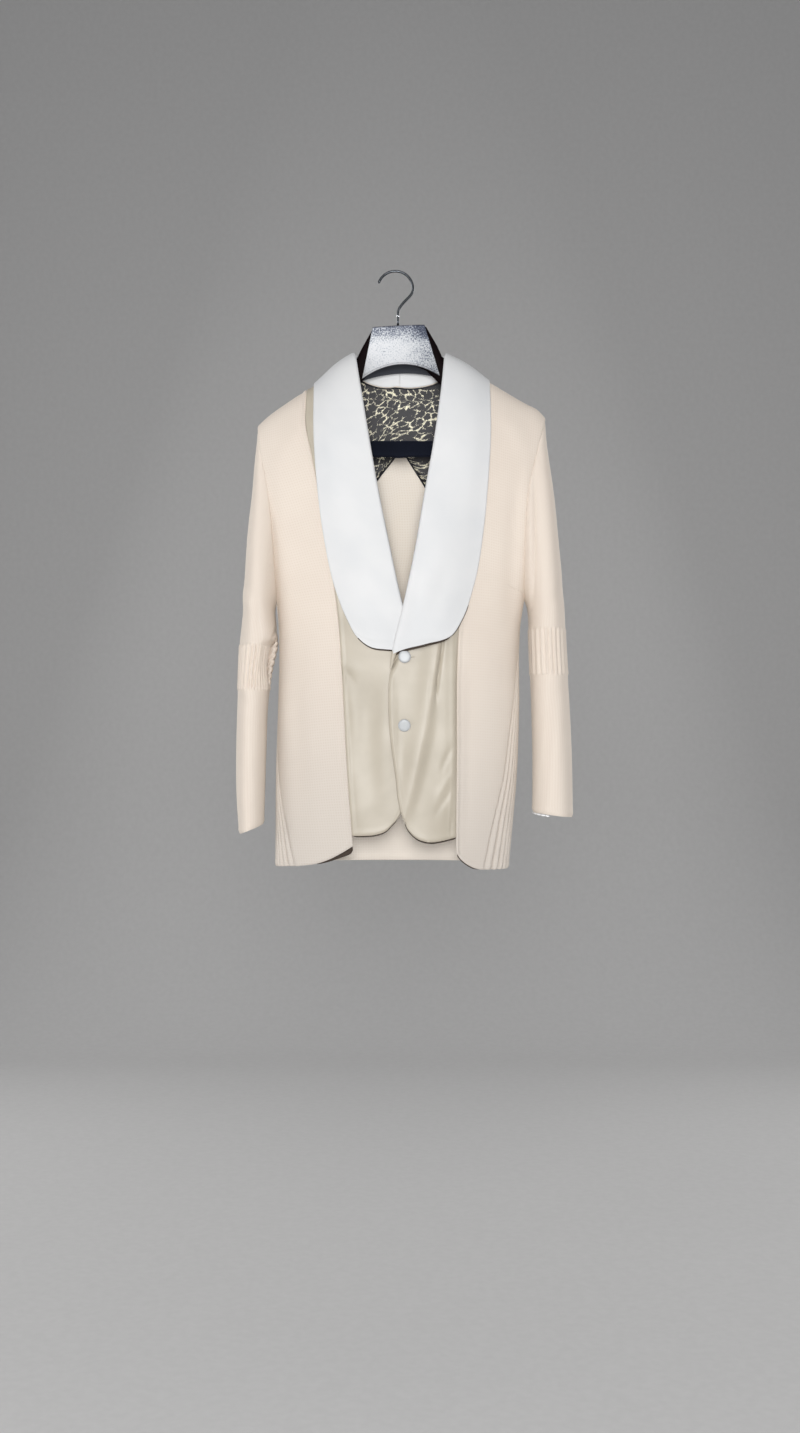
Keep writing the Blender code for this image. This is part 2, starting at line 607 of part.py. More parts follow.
def sleeve(side):
    """Rings from the armhole, which is a steep loop, to the cuff, which is nearly level."""
    sign = SIGN[side]
    front = surface(*armhole_edge(side, -1).T)
    rear = surface(*armhole_edge(side, 1).T)
    loop = np.concatenate([front[::-1], rear[1:]])           # tip, front, underarm, back, tip
    turn = np.linspace(0, 2 * math.pi, len(loop))
    under = (1 - np.cos(turn)) / 2
    loop = loop.copy()
    loop[:, 0] += sign * (ARMHOLE_GAP + (ARMPIT_GAP - ARMHOLE_GAP) * under ** 2)
    share = np.array(SLEEVE_ROWS)[:, None]
    upper = np.clip(share / LEVEL_ROW, 0, 1)
    lower = np.clip((share - LEVEL_ROW) / (1 - LEVEL_ROW), 0, 1)
    outer_cuff, inner_cuff = CUFF[side]
    cuff = (outer_cuff + inner_cuff) / 2 + (outer_cuff - inner_cuff) / 2 * np.cos(turn)
    z = loop[:, 2] * (1 - upper) + LEVEL * upper
    z = z + (cuff - LEVEL) * lower
    ring = sleeve_ring(side, turn, z)
    blend = np.clip(1 - share / BLEND_ROW, 0, 1)[..., None] ** 2
    start = sleeve_ring(side, turn, loop[:, 2])
    return ring + blend * (loop - start)


def sleeve_ring(side, turn, z):
    """Points round a sleeve at turn from its outer edge over the front, at height z."""
    turn, z = np.broadcast_arrays(turn, z)
    outer, inner = spline(SLEEVE, side + "_outer", z), spline(SLEEVE, side + "_inner", z)
    cosine, sine = np.cos(turn), np.sin(turn)
    reach = (np.abs(cosine) ** SLEEVE_SQUARENESS + np.abs(sine) ** SLEEVE_SQUARENESS)
    reach = reach ** (-1 / SLEEVE_SQUARENESS)
    x = (outer + inner) / 2 + (outer - inner) / 2 * cosine * reach
    y = spline(SLEEVE, "middle", z) - spline(SLEEVE, "half_depth", z) * sine * reach
    return np.stack([SIGN[side] * x, y, z], axis=-1)


# --- shawl collar -------------------------------------------------------------------------------

def shawl_lines(side):
    """Each row of the shawl as (angle, height) from its fold to its outer edge, and its turn."""
    up = 1 - (1 - np.linspace(0, 1, LAPEL_ROWS + 1)) ** CROWDING
    place = np.linspace(0, 1, SHAWL_FINE + 1)
    foot = LAPEL_FOOT[side]
    fold_z = foot[0][1] + (FRONT_EDGE[side][-1][0] - foot[0][1]) * up
    fold = np.stack([spline(FRONT_EDGE[side], "across", fold_z), fold_z], axis=-1)
    edge = along(LAPEL[side], up)
    lower = along(foot, place)
    fold[-1, 1], edge[-1, 1] = shoulder(fold[-1, 0]), shoulder(edge[-1, 0])
    fold[0] = lower[0]
    upper = shoulder_run(fold[-1, 0], edge[-1, 0], SHAWL_FINE + 1)
    dropped = [np.stack([run[:, 0], shoulder(run[:, 0]) - run[:, 1]], axis=-1)
               for run in (lower, upper, fold, edge)]
    front = patch(*dropped, up)
    front[..., 1] = shoulder(front[..., 0]) - np.maximum(front[..., 1], 0)
    turn = np.linspace(0, 1, COLLAR_ROWS + 1)[1:] ** COLLAR_CROWDING
    rear = collar_line(side, turn[:, None], place[None, :])
    turns = np.concatenate([np.zeros(len(front)), turn])
    return np.concatenate([on_face(front, -1), on_face(rear, 1)]), turns


def shawl(side):
    """The shawl as one folded sheet: its under ply, round the fold, and its upper ply."""
    lines, turn = shawl_lines(side)
    base = surface(*np.moveaxis(lines, -1, 0))
    if side == "left":
        base = overlapped(base)
    out = normals(base)
    if out[1, 1, 1] > 0:
        out = -out
    place = np.linspace(0, 1, SHAWL_FINE + 1)

    def at(grid, shares):
        """Rows of a grid read at these shares of the way from fold to edge."""
        shares = np.broadcast_to(shares, (len(grid), np.shape(shares)[-1]))
        return np.stack([np.stack([np.interp(s, place, row[:, k]) for k in range(3)], axis=-1)
                         for s, row in zip(shares, grid)])

    into = base[:, 1] - base[:, 0]
    into /= np.linalg.norm(into, axis=-1, keepdims=True)
    middle = base[:, 0] + into * PLY
    width = np.linalg.norm(base[:, -1] - base[:, 0], axis=-1)
    first = (PLY / width)[:, None]
    reach = collar_share(turn)[:, None]
    under = first + (reach - first) * np.linspace(1, 0, UNDER_COLUMNS + 1)[None, :-1]
    upper = first + (1 - first) * np.linspace(0, 1, UPPER_COLUMNS + 1)[None, 1:]
    round_fold = np.radians(np.linspace(-90, 90, FOLD_COLUMNS + 1))
    fold = np.stack([middle + PLY * (out[:, 0] * np.sin(a) - into * np.cos(a)) for a in round_fold], axis=1)
    points = np.concatenate([
        at(base, under) - at(out, under) * PLY, fold, at(base, upper) + at(out, upper) * PLY], axis=1)
    return trimmed(points, upper=SEAM / 2)


# --- lining -------------------------------------------------------------------------------------

def yoke():
    """Half lining inside the back, from the collar's stand down to an inverted V."""
    neck = neck_edge(YOKE_NECK, YOKE_BELOW, 1.0)
    right, left = YOKE_EDGE["right"], YOKE_EDGE["left"]
    top = {}
    for side in ("right", "left"):
        x = SIGN[side] * (TIP[side] - YOKE_IN)
        top[side] = np.array([x, float(shoulder(x)) - YOKE_DROP])
    share = np.linspace(0, 1, YOKE_SIDES + 1)[:, None]
    upper = np.concatenate([
        (top["right"] + share * (neck[0] - top["right"]))[:-1], neck,
        (neck[-1] + share * (top["left"] - neck[-1]))[1:]])
    floor = shoulder(upper[:, 0]) - YOKE_DROP
    upper[:, 1] = np.minimum(upper[:, 1], floor)
    half = len(upper) // 2
    lower = np.concatenate([
        along(right, np.linspace(1, 0, half)), along(left, np.linspace(0, 1, len(upper) - half))])
    rows = np.linspace(0, 1, YOKE_ROWS + 1)
    sides = []
    for side, foot in (("right", right[-1]), ("left", left[-1])):
        z = foot[1] + (top[side][1] - foot[1]) * rows
        up = (z - ARMPIT[side]) / (float(shoulder(SIGN[side] * TIP[side])) - ARMPIT[side])
        x = SIGN[side] * (spline(ARMHOLE, side, up) - YOKE_IN)
        edge = np.stack([x, z], axis=-1)
        edge[0], edge[-1] = foot, top[side]
        sides.append(edge)
    grids = [from_right(on_face(e, 1)) for e in (lower, upper, sides[0], sides[1])]
    base = surface(*np.moveaxis(patch(*grids, rows), -1, 0))
    inward = normals(base)
    if inward[YOKE_ROWS // 2, half, 1] > 0:
        inward = -inward
    return base + inward * (KNIT / 2 + YOKE_CLEAR + PRINT / 2)


# --- hanger -------------------------------------------------------------------------------------

def hanger_body():
    """Contoured hanger: rounded sections from one arm's end over the neck to the other's."""
    stations = []
    for side in ("right", "left"):
        run = []
        for out, right, left, underside, half in NECK[1:]:
            x = HANGER_MIDDLE + SIGN[side] * out
            run.append((x, right if side == "right" else left, underside, half))
        for out, below, underside, half in ARM[1:]:
            x = SIGN[side] * out
            run.append((x, float(shoulder(x)) - below, underside, half))
        stations.append(run)
    stations = stations[0][:0:-1] + stations[1]
    turn = np.linspace(0, 2 * math.pi, HANGER_SIDES + 1)
    points = []
    for x, top, underside, half in stations:
        height = (top + underside) / 2 + (top - underside) / 2 * np.sin(turn)
        points.append(np.stack([np.full(len(turn), x), half * np.cos(turn), height], axis=-1))
    points = np.array(points)
    body = bmesh.new()
    rings = [[body.verts.new(p) for p in ring[:-1]] for ring in points]
    for ring, after in zip(rings, rings[1:]):
        for k in range(len(ring)):
            near = (k + 1) % len(ring)
            body.faces.new((ring[k], ring[near], after[near], after[k]))
    body.faces.new(rings[0][::-1])
    body.faces.new(rings[-1])
    bmesh.ops.recalc_face_normals(body, faces=body.faces)
    mesh = bpy.data.meshes.new("hanger_body")
    body.to_mesh(mesh)
    body.free()
    add_part("hanger_body", mesh, BURGUNDY, 0.35)


def hook():
    """Wire hook: round over the top, then a bend back to the stem above the hanger's middle."""
    top = np.array([HOOK_MIDDLE, WIRE - HOOK_RADIUS])
    angles = np.radians(np.linspace(HOOK_TIP, HOOK_BACK, HOOK_POINTS))
    bow = top + HOOK_RADIUS * np.stack([np.cos(angles), np.sin(angles)], axis=-1)
    stem = np.array([STEM_ACROSS, STEM_STRAIGHT])
    share = np.linspace(0, 1, BEND_POINTS)[1:, None]
    down = bow[-1] + np.array(BEND_START)
    before = stem + np.array(BEND_END)
    bend = ((1 - share) ** 3 * bow[-1] + 3 * (1 - share) ** 2 * share * down
            + 3 * (1 - share) * share ** 2 * before + share ** 3 * stem)
    foot = [[STEM_ACROSS, NECK[1][1] + STEM_CLEAR]]
    path = np.concatenate([bow, bend, foot])
    curve = bpy.data.curves.new("hanger_hook", "CURVE")
    curve.dimensions = "3D"
    curve.bevel_depth = WIRE
    curve.bevel_resolution = 2
    curve.use_fill_caps = True
    wire = curve.splines.new("POLY")
    wire.points.add(len(path) - 1)
    for point, (x, z) in zip(wire.points, path):
        point.co = (x, 0.0, z, 1.0)
    add_part("hanger_hook", curve, STEEL, 0.25, 1.0)


def bar():
    bpy.ops.mesh.primitive_cube_add(size=1.0, location=(0.0, 0.0, (BAR_TOP + BAR_BOTTOM) / 2))
    block = bpy.context.object
    mesh = block.data
    for vertex in mesh.vertices:
        vertex.co.x *= 2 * BAR_END
        vertex.co.y *= BAR_THICK
        vertex.co.z *= BAR_TOP - BAR_BOTTOM
    place = block.location.copy()
    bpy.data.objects.remove(block)
    part = add_part("hanger_bar", mesh, FLOCK, 0.95)
    part.location = place
    edges = part.modifiers.new("edges", "BEVEL")
    edges.width = BAR_ROUND
    edges.segments = 2


def card():
    """Silver neck piece: one card folded over the hanger's neck, its walls bowed, its sides open."""
    across = np.linspace(-1, 1, CARD_COLUMNS + 1)
    share = (across + 1) / 2
    top = np.stack([(1 - s) * np.array(CARD_TOP["right"]) + s * np.array(CARD_TOP["left"]) for s in share])
    foot = np.stack([(1 - s) * np.array(CARD_FOOT["right"]) + s * np.array(CARD_FOOT["left"])
                     for s in share])
    belly = 1 - across ** 2
    foot[:, 1] += CARD_ARCH * belly
    wall = []
    for up in np.linspace(0, 1, CARD_ROWS + 1):
        line = foot + up * (top - foot)
        bow = CARD_BOW_FOOT + (CARD_BOW_TOP - CARD_BOW_FOOT) * up ** CARD_FLARE
        wall.append(np.stack([line[:, 0], -(CARD_SIDE + bow * belly), line[:, 1]], axis=-1))
    rear = [row * (1, -1, 1) for row in wall[::-1]]
    ridge = [wall[-1] * (1, place, 1) for place in (RIDGE_SHARE, -RIDGE_SHARE)]
    points = np.array(wall + ridge + rear)
    middle = Vector(wall[-1].mean(axis=0) * (1, 0, 1))
    sheet("hanger_sleeve", points, CARD, SILVER, 0.3, holes=(middle,), metallic=1.0)


def button(name, across, height):
    """Covered button: a flat back, a rounded rim and a low dome."""
    face = overlapped(surface(*np.moveaxis(on_face((across, height), -1), -1, 0)))
    profile = [(out * BUTTON_RADIUS, 0.0, up * BUTTON_THICK) for out, up in BUTTON_PROFILE[1:]]
    mesh = bpy.data.meshes.new(name)
    mesh.from_pydata(profile, [(k, k + 1) for k in range(len(profile) - 1)], [])
    part = add_part(name, mesh, WHITE, 0.35)
    part.location = (face[0], face[1] - SATIN / 2 - BUTTON_CLEAR, face[2])
    part.rotation_euler = (math.radians(90), 0.0, 0.0)
    turned = part.modifiers.new("turned", "SCREW")
    turned.steps = BUTTON_SIDES
    turned.render_steps = BUTTON_SIDES
    turned.use_merge_vertices = True
    turned.merge_threshold = WELD


# --- the object ---------------------------------------------------------------------------------

for wearer_side in ("right", "left"):
    sheet(f"front_knit_{wearer_side}", knit_front(wearer_side), KNIT, IVORY, 0.85)
    sheet(f"front_satin_{wearer_side}", satin_front(wearer_side), SATIN, SATIN_IVORY, 0.45)
    sheet(f"side_pleats_{wearer_side}", side_panel(wearer_side), KNIT, IVORY, 0.85)
    sheet(f"sleeve_{wearer_side}", sleeve(wearer_side), KNIT, IVORY, 0.85, closed=True)
    sheet(f"shawl_{wearer_side}", shawl(wearer_side), SATIN, WHITE, 0.4)
sheet("back_panel", back(), KNIT, IVORY, 0.85)
sheet("lining_yoke", yoke(), PRINT, PRINTED, 0.6)
for button_name, (button_across, button_height) in BUTTONS.items():
    button(button_name, button_across, button_height)
hanger_body()
hook()
bar()
card()
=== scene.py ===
"""Ivory knit dinner jacket with a white satin shawl collar, buttoned, on a contoured hanger.

Metres, +Z up, the front facing -Y, the wearer's left at +X, and the origin at the inner top of the
hanger's hook. The sections follow the jacket as it is made up: the back, the fronts, the pleated
sides, the sleeves, the collar, the lining and the buttons, and then the hanger it hangs on.
"""
import math

import bmesh
import bpy
import numpy as np
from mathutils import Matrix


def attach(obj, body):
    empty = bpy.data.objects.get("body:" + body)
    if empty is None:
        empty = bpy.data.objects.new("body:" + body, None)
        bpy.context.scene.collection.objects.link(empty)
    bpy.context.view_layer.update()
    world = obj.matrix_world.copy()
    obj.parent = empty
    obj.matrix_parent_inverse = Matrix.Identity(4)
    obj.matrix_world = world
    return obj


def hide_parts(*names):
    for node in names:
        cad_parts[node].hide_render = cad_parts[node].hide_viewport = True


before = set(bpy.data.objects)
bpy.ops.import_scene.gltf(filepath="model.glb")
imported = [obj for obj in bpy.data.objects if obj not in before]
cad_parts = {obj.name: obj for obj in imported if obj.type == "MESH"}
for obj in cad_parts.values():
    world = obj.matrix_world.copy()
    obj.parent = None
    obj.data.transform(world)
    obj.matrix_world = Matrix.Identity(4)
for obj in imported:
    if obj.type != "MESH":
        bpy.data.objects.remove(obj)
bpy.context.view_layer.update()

# --- Back panel ---------------------------------------------------------------------------------
# The back is one piece of fine ivory knit from the hem to the neck, cut away for the armholes.
# Every panel lies on the same surface: a flattened ring at each height, closed over the shoulder
# line, so that neighbours meet at their seams.

# Half width on each side and how far front and back stand out, by height
BODY = (
    ("height", "right", "left", "front", "back"),
    (-0.900, 0.1790, 0.1630, 0.066, 0.064),
    (-0.850, 0.1788, 0.1680, 0.065, 0.062),
    (-0.750, 0.1785, 0.1770, 0.064, 0.060),
    (-0.650, 0.1765, 0.1810, 0.064, 0.057),
    (-0.560, 0.1755, 0.1820, 0.066, 0.058),
    (-0.490, 0.1810, 0.1895, 0.068, 0.060),
    (-0.440, 0.1930, 0.2050, 0.067, 0.060),
    (-0.380, 0.2100, 0.2220, 0.064, 0.058),
    (-0.300, 0.2280, 0.2400, 0.060, 0.054),
    (-0.215, 0.2400, 0.2520, 0.056, 0.050),
)
SQUARENESS = 2.4         # exponent of the flattened ring: 2 is an ellipse
SHOULDER_DROP = 0.150    # height over which the sheet opens from the shoulder line to full depth
SIGN = {"right": -1, "left": 1}      # which way each of the wearer's sides lies along X
# Height of the shoulder line on each side, by distance out from the middle
SHOULDER = (
    ("out", "right", "left"),
    (0.000, -0.0980, -0.0980),
    (0.035, -0.1100, -0.1065),
    (0.065, -0.1245, -0.1205),
    (0.120, -0.1680, -0.1550),
    (0.160, -0.1942, -0.1795),
    (0.195, -0.2195, -0.1995),
    (0.209, -0.2325, -0.2065),
    (0.224, -0.2470, -0.2220),
)
SHOULDER_TIP = {"right": 0.2087, "left": 0.2225}
ARMPIT = {"right": -0.490, "left": -0.482}
# Armhole seam's distance out, by its share of the height from underarm to shoulder tip
ARMHOLE = (
    ("up", "right", "left"),
    (0.00, 0.1810, 0.1905),
    (0.25, 0.1845, 0.1905),
    (0.50, 0.1895, 0.1945),
    (0.70, 0.1965, 0.2025),
    (0.85, 0.2045, 0.2120),
    (1.00, 0.2087, 0.2225),
)
BACK_ARMHOLE = 0.004     # the back armhole is cut this much wider half way up
# Side panel's front and back seams, in degrees round from centre front, by height
SIDE_SEAMS = (
    ("height", "right_front", "left_front", "right_back", "left_back"),
    (-0.8900, 52.0, 47.0, 122.0, 126.0),
    (-0.8020, 66.0, 53.6, 116.0, 121.0),
    (-0.7580, 76.0, 58.0, 113.5, 118.0),
    (-0.6930, 88.0, 62.5, 111.0, 114.0),
    (-0.6250, 92.0, 70.0, 107.5, 108.0),
    (-0.5610, 91.0, 82.0, 101.0, 100.0),
    (-0.4860, 87.5, 87.5, 92.5, 92.5),
)
HEM_CORNER = {"right": -0.8860, "left": -0.8910}     # height where each front's hem meets the side
BACK_HEM = -0.8860
# The collar on the back: its fold and outer edge drop from the shoulder line towards centre back
NECK_POINT = {"right": -0.0629, "left": 0.0719}      # world X where each fold crosses the shoulder
COLLAR_POINT = {"right": -0.1223, "left": 0.1367}    # and where each outer edge does
COLLAR_MIDDLE = 0.0045
COLLAR_FOLD, COLLAR_HEM = 0.0300, 0.0980             # drops at centre back
FACING_SHARE, STAND_SHARE = 0.14, 0.50   # neck seam's place down the fall, at shoulder and centre
NECK_LAP = 0.07          # the back's neck edge lies this share of the fall above the neck seam
ROWS_BELOW, ROWS_ABOVE = 96, 84          # rows of every body panel below and above the underarm
BACK_COLUMNS, NECK_COLUMNS = 26, 72
KNIT = 0.0020            # thickness of the knit
CUT_ROUND, CUT_ANGLE = 0.35, 60          # a cut edge is rounded by this share of its thickness
SEAM_GAP, SHOULDER_GAP = 0.0004, 0.0006  # each panel stops this far short of its seams
SHOULDER_CROWDING = 1.5  # power that brings rows and columns closer together at the shoulder
SEAM_ROLL = ((0.0, -0.0010), (0.0020, -0.0002), (0.0050, 0.0))     # a seam's edge rolls in
HEM_ROLL = ((0.0, -0.0012), (0.0015, -0.0002), (0.0040, 0.0004), (0.0120, 0.0))


def spline(table, name, at):
    """A column of a table at any key: a cubic through its rows, level past its ends."""
    names, *rows = table
    rows = np.array(sorted(rows))
    keys, values = rows[:, 0], rows[:, names.index(name)]
    slopes = np.gradient(values, keys)
    at = np.clip(at, keys[0], keys[-1])
    i = np.clip(np.searchsorted(keys, at) - 1, 0, len(keys) - 2)
    step = keys[i + 1] - keys[i]
    t = (at - keys[i]) / step
    from_left = (1 + 2 * t) * (1 - t) ** 2 * values[i] + t * (1 - t) ** 2 * step * slopes[i]
    from_right = t * t * (3 - 2 * t) * values[i + 1] - t * t * (1 - t) * step * slopes[i + 1]
    return from_left + from_right


def eased(value):
    """0 to 1, starting and ending gently."""
    value = np.clip(value, 0, 1)
    return value * value * (3 - 2 * value)


def both_sides(table, x, at):
    """A left-and-right column pair, read on the side that x is on."""
    return np.where(x < 0, spline(table, "right", at), spline(table, "left", at))


def shoulder(x):
    return both_sides(SHOULDER, x, np.abs(x))


def body_surface(angle, z):
    """Point of the body at an angle round from centre front, in degrees, left side positive."""
    angle, z = np.radians(np.asarray(angle, float)), np.asarray(z, float)
    across, ahead = np.sin(angle), np.cos(angle)
    reach = (np.abs(across) ** SQUARENESS + np.abs(ahead) ** SQUARENESS) ** (-1 / SQUARENESS)
    x = both_sides(BODY, across, z) * across * reach
    depth = np.where(ahead > 0, spline(BODY, "front", z), spline(BODY, "back", z))
    drop = np.clip((shoulder(x) - z) / SHOULDER_DROP, 0, 1)
    opening = np.sqrt(np.maximum(0, 1 - (1 - drop) ** 2))
    return np.stack(np.broadcast_arrays(x, -depth * ahead * reach * opening, z), axis=-1)


def on_face(points, face):
    """(across, height) points of the front (face -1) or back (face 1) as (angle, height)."""
    points = np.array(points, float)
    x, z = points[..., 0], points[..., 1]
    share = np.clip(np.abs(x) / both_sides(BODY, x, z), 0, 1)
    depth = (1 - share ** SQUARENESS) ** (1 / SQUARENESS)
    return np.stack([np.sign(x) * np.degrees(np.arctan2(share, -face * depth)), z], axis=-1)


def run_through(points, shares):
    """Smooth run through a few (across, height) points, at shares of its length."""
    points = np.array(points, float)
    steps = np.linalg.norm(np.diff(points, axis=0), axis=1)
    keys = np.concatenate([[0], np.cumsum(steps)]) / steps.sum()
    table = [("key", "across", "height")] + [(k, *p) for k, p in zip(keys, points)]
    return np.stack([spline(table, "across", shares), spline(table, "height", shares)], axis=-1)


def crowded(count, amount=0.7):
    """Shares from 0 to 1 that lie closer together near both ends."""
    t = np.linspace(0, 1, count + 1)
    return t - amount * np.sin(2 * math.pi * t) / (2 * math.pi)


def patch(lower, upper, inner, outer, across, up):
    """Grid of pairs between four edges, at these shares across and up."""
    across, up = across[None, :, None], up[:, None, None]
    ends = (1 - up) * lower[None] + up * upper[None]
    sides = (1 - across) * inner[:, None] + across * outer[:, None]
    corners = ((1 - up) * ((1 - across) * lower[0] + across * lower[-1])
               + up * ((1 - across) * upper[0] + across * upper[-1]))
    return ends + sides - corners


SETTLE_ROUNDS = 16       # rounds in which a panel's heights settle under the sloped shoulder


def panel(lower, upper, inner, outer, across, up):
    """Points of a panel between four (angle, height) edges, its rows kept below the shoulder."""
    dropped = []
    for edge in (lower, upper, inner, outer):
        x = body_surface(edge[:, 0], edge[:, 1])[:, 0]
        dropped.append(np.stack([edge[:, 0], shoulder(x) - edge[:, 1]], axis=-1))
    grid = patch(*dropped, across, up)
    angle, drop = grid[..., 0], np.maximum(grid[..., 1], 0)
    z = np.full(angle.shape, -0.4)
    for _ in range(SETTLE_ROUNDS):
        z = shoulder(body_surface(angle, z)[..., 0]) - drop
    return body_surface(angle, z)


def outward(points):
    """Unit normal at each point of a grid, away from the jacket's inside."""
    across, up = np.gradient(points, axis=1), np.gradient(points, axis=0)
    out = np.cross(across, up)
    out /= np.maximum(np.linalg.norm(out, axis=-1, keepdims=True), 1e-12)
    middle = (len(points) // 3, points.shape[1] // 2)
    away = np.array([points[middle][0] * 0.2, points[middle][1], 0.0])
    return out if out[middle] @ away > 0 else -out


def from_edge(points, edge):
    """Each point's distance along the cloth from one edge of its grid."""
    axis = 0 if edge in ("lower", "upper") else 1
    steps = np.linalg.norm(np.diff(points, axis=axis), axis=-1)
    start = np.zeros_like(np.take(points, [0], axis=axis)[..., 0])
    if edge in ("lower", "inner"):
        return np.concatenate([start, np.cumsum(steps, axis=axis)], axis=axis)
    steps = np.flip(np.cumsum(np.flip(steps, axis), axis=axis), axis)
    return np.concatenate([steps, start], axis=axis)


def edged(points, out, edge, profile):
    """The cloth along one edge raised by this profile of (distance in, height)."""
    table = (("key", "height"), *profile)
    return points + out * spline(table, "height", from_edge(points, edge))[..., None]


def drawn_in(points, edge, amount, over=0.012):
    """One edge drawn in along the cloth, or let out if amount is negative, for a seam's gap."""
    axis, flip = (0 if edge in ("lower", "upper") else 1), edge in ("upper", "outer")
    inward = np.gradient(points, axis=axis) * (-1 if flip else 1)
    inward /= np.maximum(np.linalg.norm(inward, axis=-1, keepdims=True), 1e-12)
    near = np.clip(1 - from_edge(points, edge) / over, 0, 1)
    return points + inward * (amount * near)[..., None]


FOLD_STEPS = 25          # fewest places that a fold is drawn from
FOLD_END, FOLD_FADE = 0.04, 0.7          # its ends fade from this share in, by this power


def creased(points, out, folds):
    """Soft ridges, or troughs where height is negative, along runs of (across, height).

    Each has one half width, or one towards -X and one towards +X for a fold with a steep side.
    """
    moved = points.copy()
    flat = points[..., ::2]
    for run, width, height in folds:
        before, after = width if isinstance(width, tuple) else (width, width)
        length = np.linalg.norm(np.diff(np.array(run), axis=0), axis=1).sum()
        steps = max(FOLD_STEPS, int(2 * length / min(before, after)))
        place = run_through(run, np.linspace(0, 1, steps))
        gap = flat[..., None, :] - place
        half = np.where(gap[..., 0] < 0, before, after)
        fade = np.sin(math.pi * np.linspace(FOLD_END, 1 - FOLD_END, steps)) ** FOLD_FADE
        lift = np.max(fade * np.exp(-(gap ** 2).sum(axis=-1) / half ** 2), axis=-1)
        moved += out * (height * lift)[..., None]
    return moved


def armhole_edge(side, face):
    """(angle, height) up the armhole from the underarm point to the shoulder tip."""
    up = crowded(ROWS_ABOVE, 0.85)
    tip = float(shoulder(SIGN[side] * SHOULDER_TIP[side]))
    z = ARMPIT[side] + (tip - ARMPIT[side]) * up
    out = spline(ARMHOLE, side, up) + (face > 0) * BACK_ARMHOLE * np.sin(math.pi * up)
    return on_face(np.stack([SIGN[side] * out, z], axis=-1), face)


def side_edge(side, face):
    """(angle, height) up a front or back panel's outer edge: the side panel, then the armhole."""
    name = side + ("_front" if face < 0 else "_back")
    foot = HEM_CORNER[side] if face < 0 else BACK_HEM
    z = foot + (ARMPIT[side] - foot) * crowded(ROWS_BELOW, 0.6)
    seam = np.stack([SIGN[side] * spline(SIDE_SEAMS, name, z), z], axis=-1)
    return np.concatenate([seam, armhole_edge(side, face)[1:]])


def shares_up(edge):
    """Each row's share of the height along an edge."""
    return (edge[:, 1] - edge[0, 1]) / (edge[-1, 1] - edge[0, 1])


def shoulder_run(first, last, shares):
    """(across, height) along the shoulder line."""
    x = first + (last - first) * shares
    return np.stack([x, shoulder(x)], axis=-1)


def collar_line(side, turn, share):
    """(across, height) on the back at a share from fold to hem.

    turn is 0 at the shoulder and 1 at centre back.
    """
    cosine, sine = np.cos(turn * math.pi / 2), np.sin(turn * math.pi / 2)
    fold, hem = NECK_POINT[side], COLLAR_POINT[side]
    x = COLLAR_MIDDLE + (fold + share * (hem - fold) - COLLAR_MIDDLE) * cosine
    drop = (1 - share) * COLLAR_FOLD * sine ** 2 + share * COLLAR_HEM * sine ** 2
    return np.stack([x, shoulder(x) - drop], axis=-1)


def neck_seam(turn):
    """How far down the fall the neck seam lies."""
    return FACING_SHARE + (STAND_SHARE - FACING_SHARE) * np.sin(turn * math.pi / 2)


def neck_edge(count, lower):
    """(across, height) of a neckline on the back from right to left, this share below the seam."""
    halves = []
    for side in ("right", "left"):
        turn = np.linspace(0, 1, count // 2 + 1) ** SHOULDER_CROWDING
        halves.append(collar_line(side, turn, neck_seam(turn) + lower))
    middle = (halves[0][-1] + halves[1][-1]) / 2
    return np.concatenate([halves[0][:-1], [middle], halves[1][-2::-1]])


def past_back(points):
    """Angles of the wearer's right side counted on past the centre back."""
    turned = np.array(points)
    turned[..., 0] = np.mod(turned[..., 0], 360)
    return turned


def into_scene(name, data):
    """A new object of this mesh, lamp or lens."""
    made = bpy.data.objects.new(name, data)
    bpy.context.scene.collection.objects.link(made)
    return made


def cloth(name, points, thick, *finishes, closed=False, round_edges=True):
    """A grid of points as a sheet with a wall, its cut in metres kept for the weave.

    The first finish is its own, and a second one is for its other side. closed joins its first
    and last columns, as on a sleeve.
    """
    rows, columns = points.shape[:2]
    index = np.arange(rows * columns).reshape(rows, columns)
    if closed:
        index[:, -1] = index[:, 0]
    corners = [index[:-1, :-1], index[:-1, 1:], index[1:, 1:], index[1:, :-1]]
    faces = np.stack(corners, axis=-1).reshape(-1, 4)
    u = points[:, :1, 0] + from_edge(points, "inner")
    v = points[:1, :, 2] + from_edge(points, "lower")
    cut = np.stack([u, v], axis=-1)
    loops = [cut[:-1, :-1], cut[:-1, 1:], cut[1:, 1:], cut[1:, :-1]]
    used, faces = np.unique(faces, return_inverse=True)
    mesh = bpy.data.meshes.new(name)
    mesh.from_pydata(points.reshape(-1, 3)[used], [], faces.reshape(-1, 4).tolist())
    layer = mesh.uv_layers.new(name="cut")
    layer.data.foreach_set("uv", np.stack(loops, axis=2).reshape(-1).astype(np.float32))
    mesh.shade_smooth()
    for finish in finishes:
        mesh.materials.append(finish)
    piece = into_scene(name, mesh)
    wall = piece.modifiers.new("wall", "SOLIDIFY")
    wall.thickness = thick
    wall.offset = 0.0
    if round_edges:
        turned = piece.modifiers.new("turned_edge", "BEVEL")
        turned.width = thick * CUT_ROUND
        turned.segments = 2
        turned.limit_method = "ANGLE"
        turned.angle_limit = math.radians(CUT_ANGLE)
    return piece


def placed(piece, points, slot, held, rests_on, *nodes):
    """A sheet on the jacket with the solids it stands for hidden; its finish's slot and its cut are
    not used.
    """
    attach(piece, "root")
    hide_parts(*nodes)


def from_hex(colour):
    """An sRGB hex colour as linear RGBA."""
    channels = [int(colour[k:k + 2], 16) / 255 for k in (1, 3, 5)]
    linear = [c / 12.92 if c <= 0.04045 else ((c + 0.055) / 1.055) ** 2.4 for c in channels]
    return (*linear, 1.0)


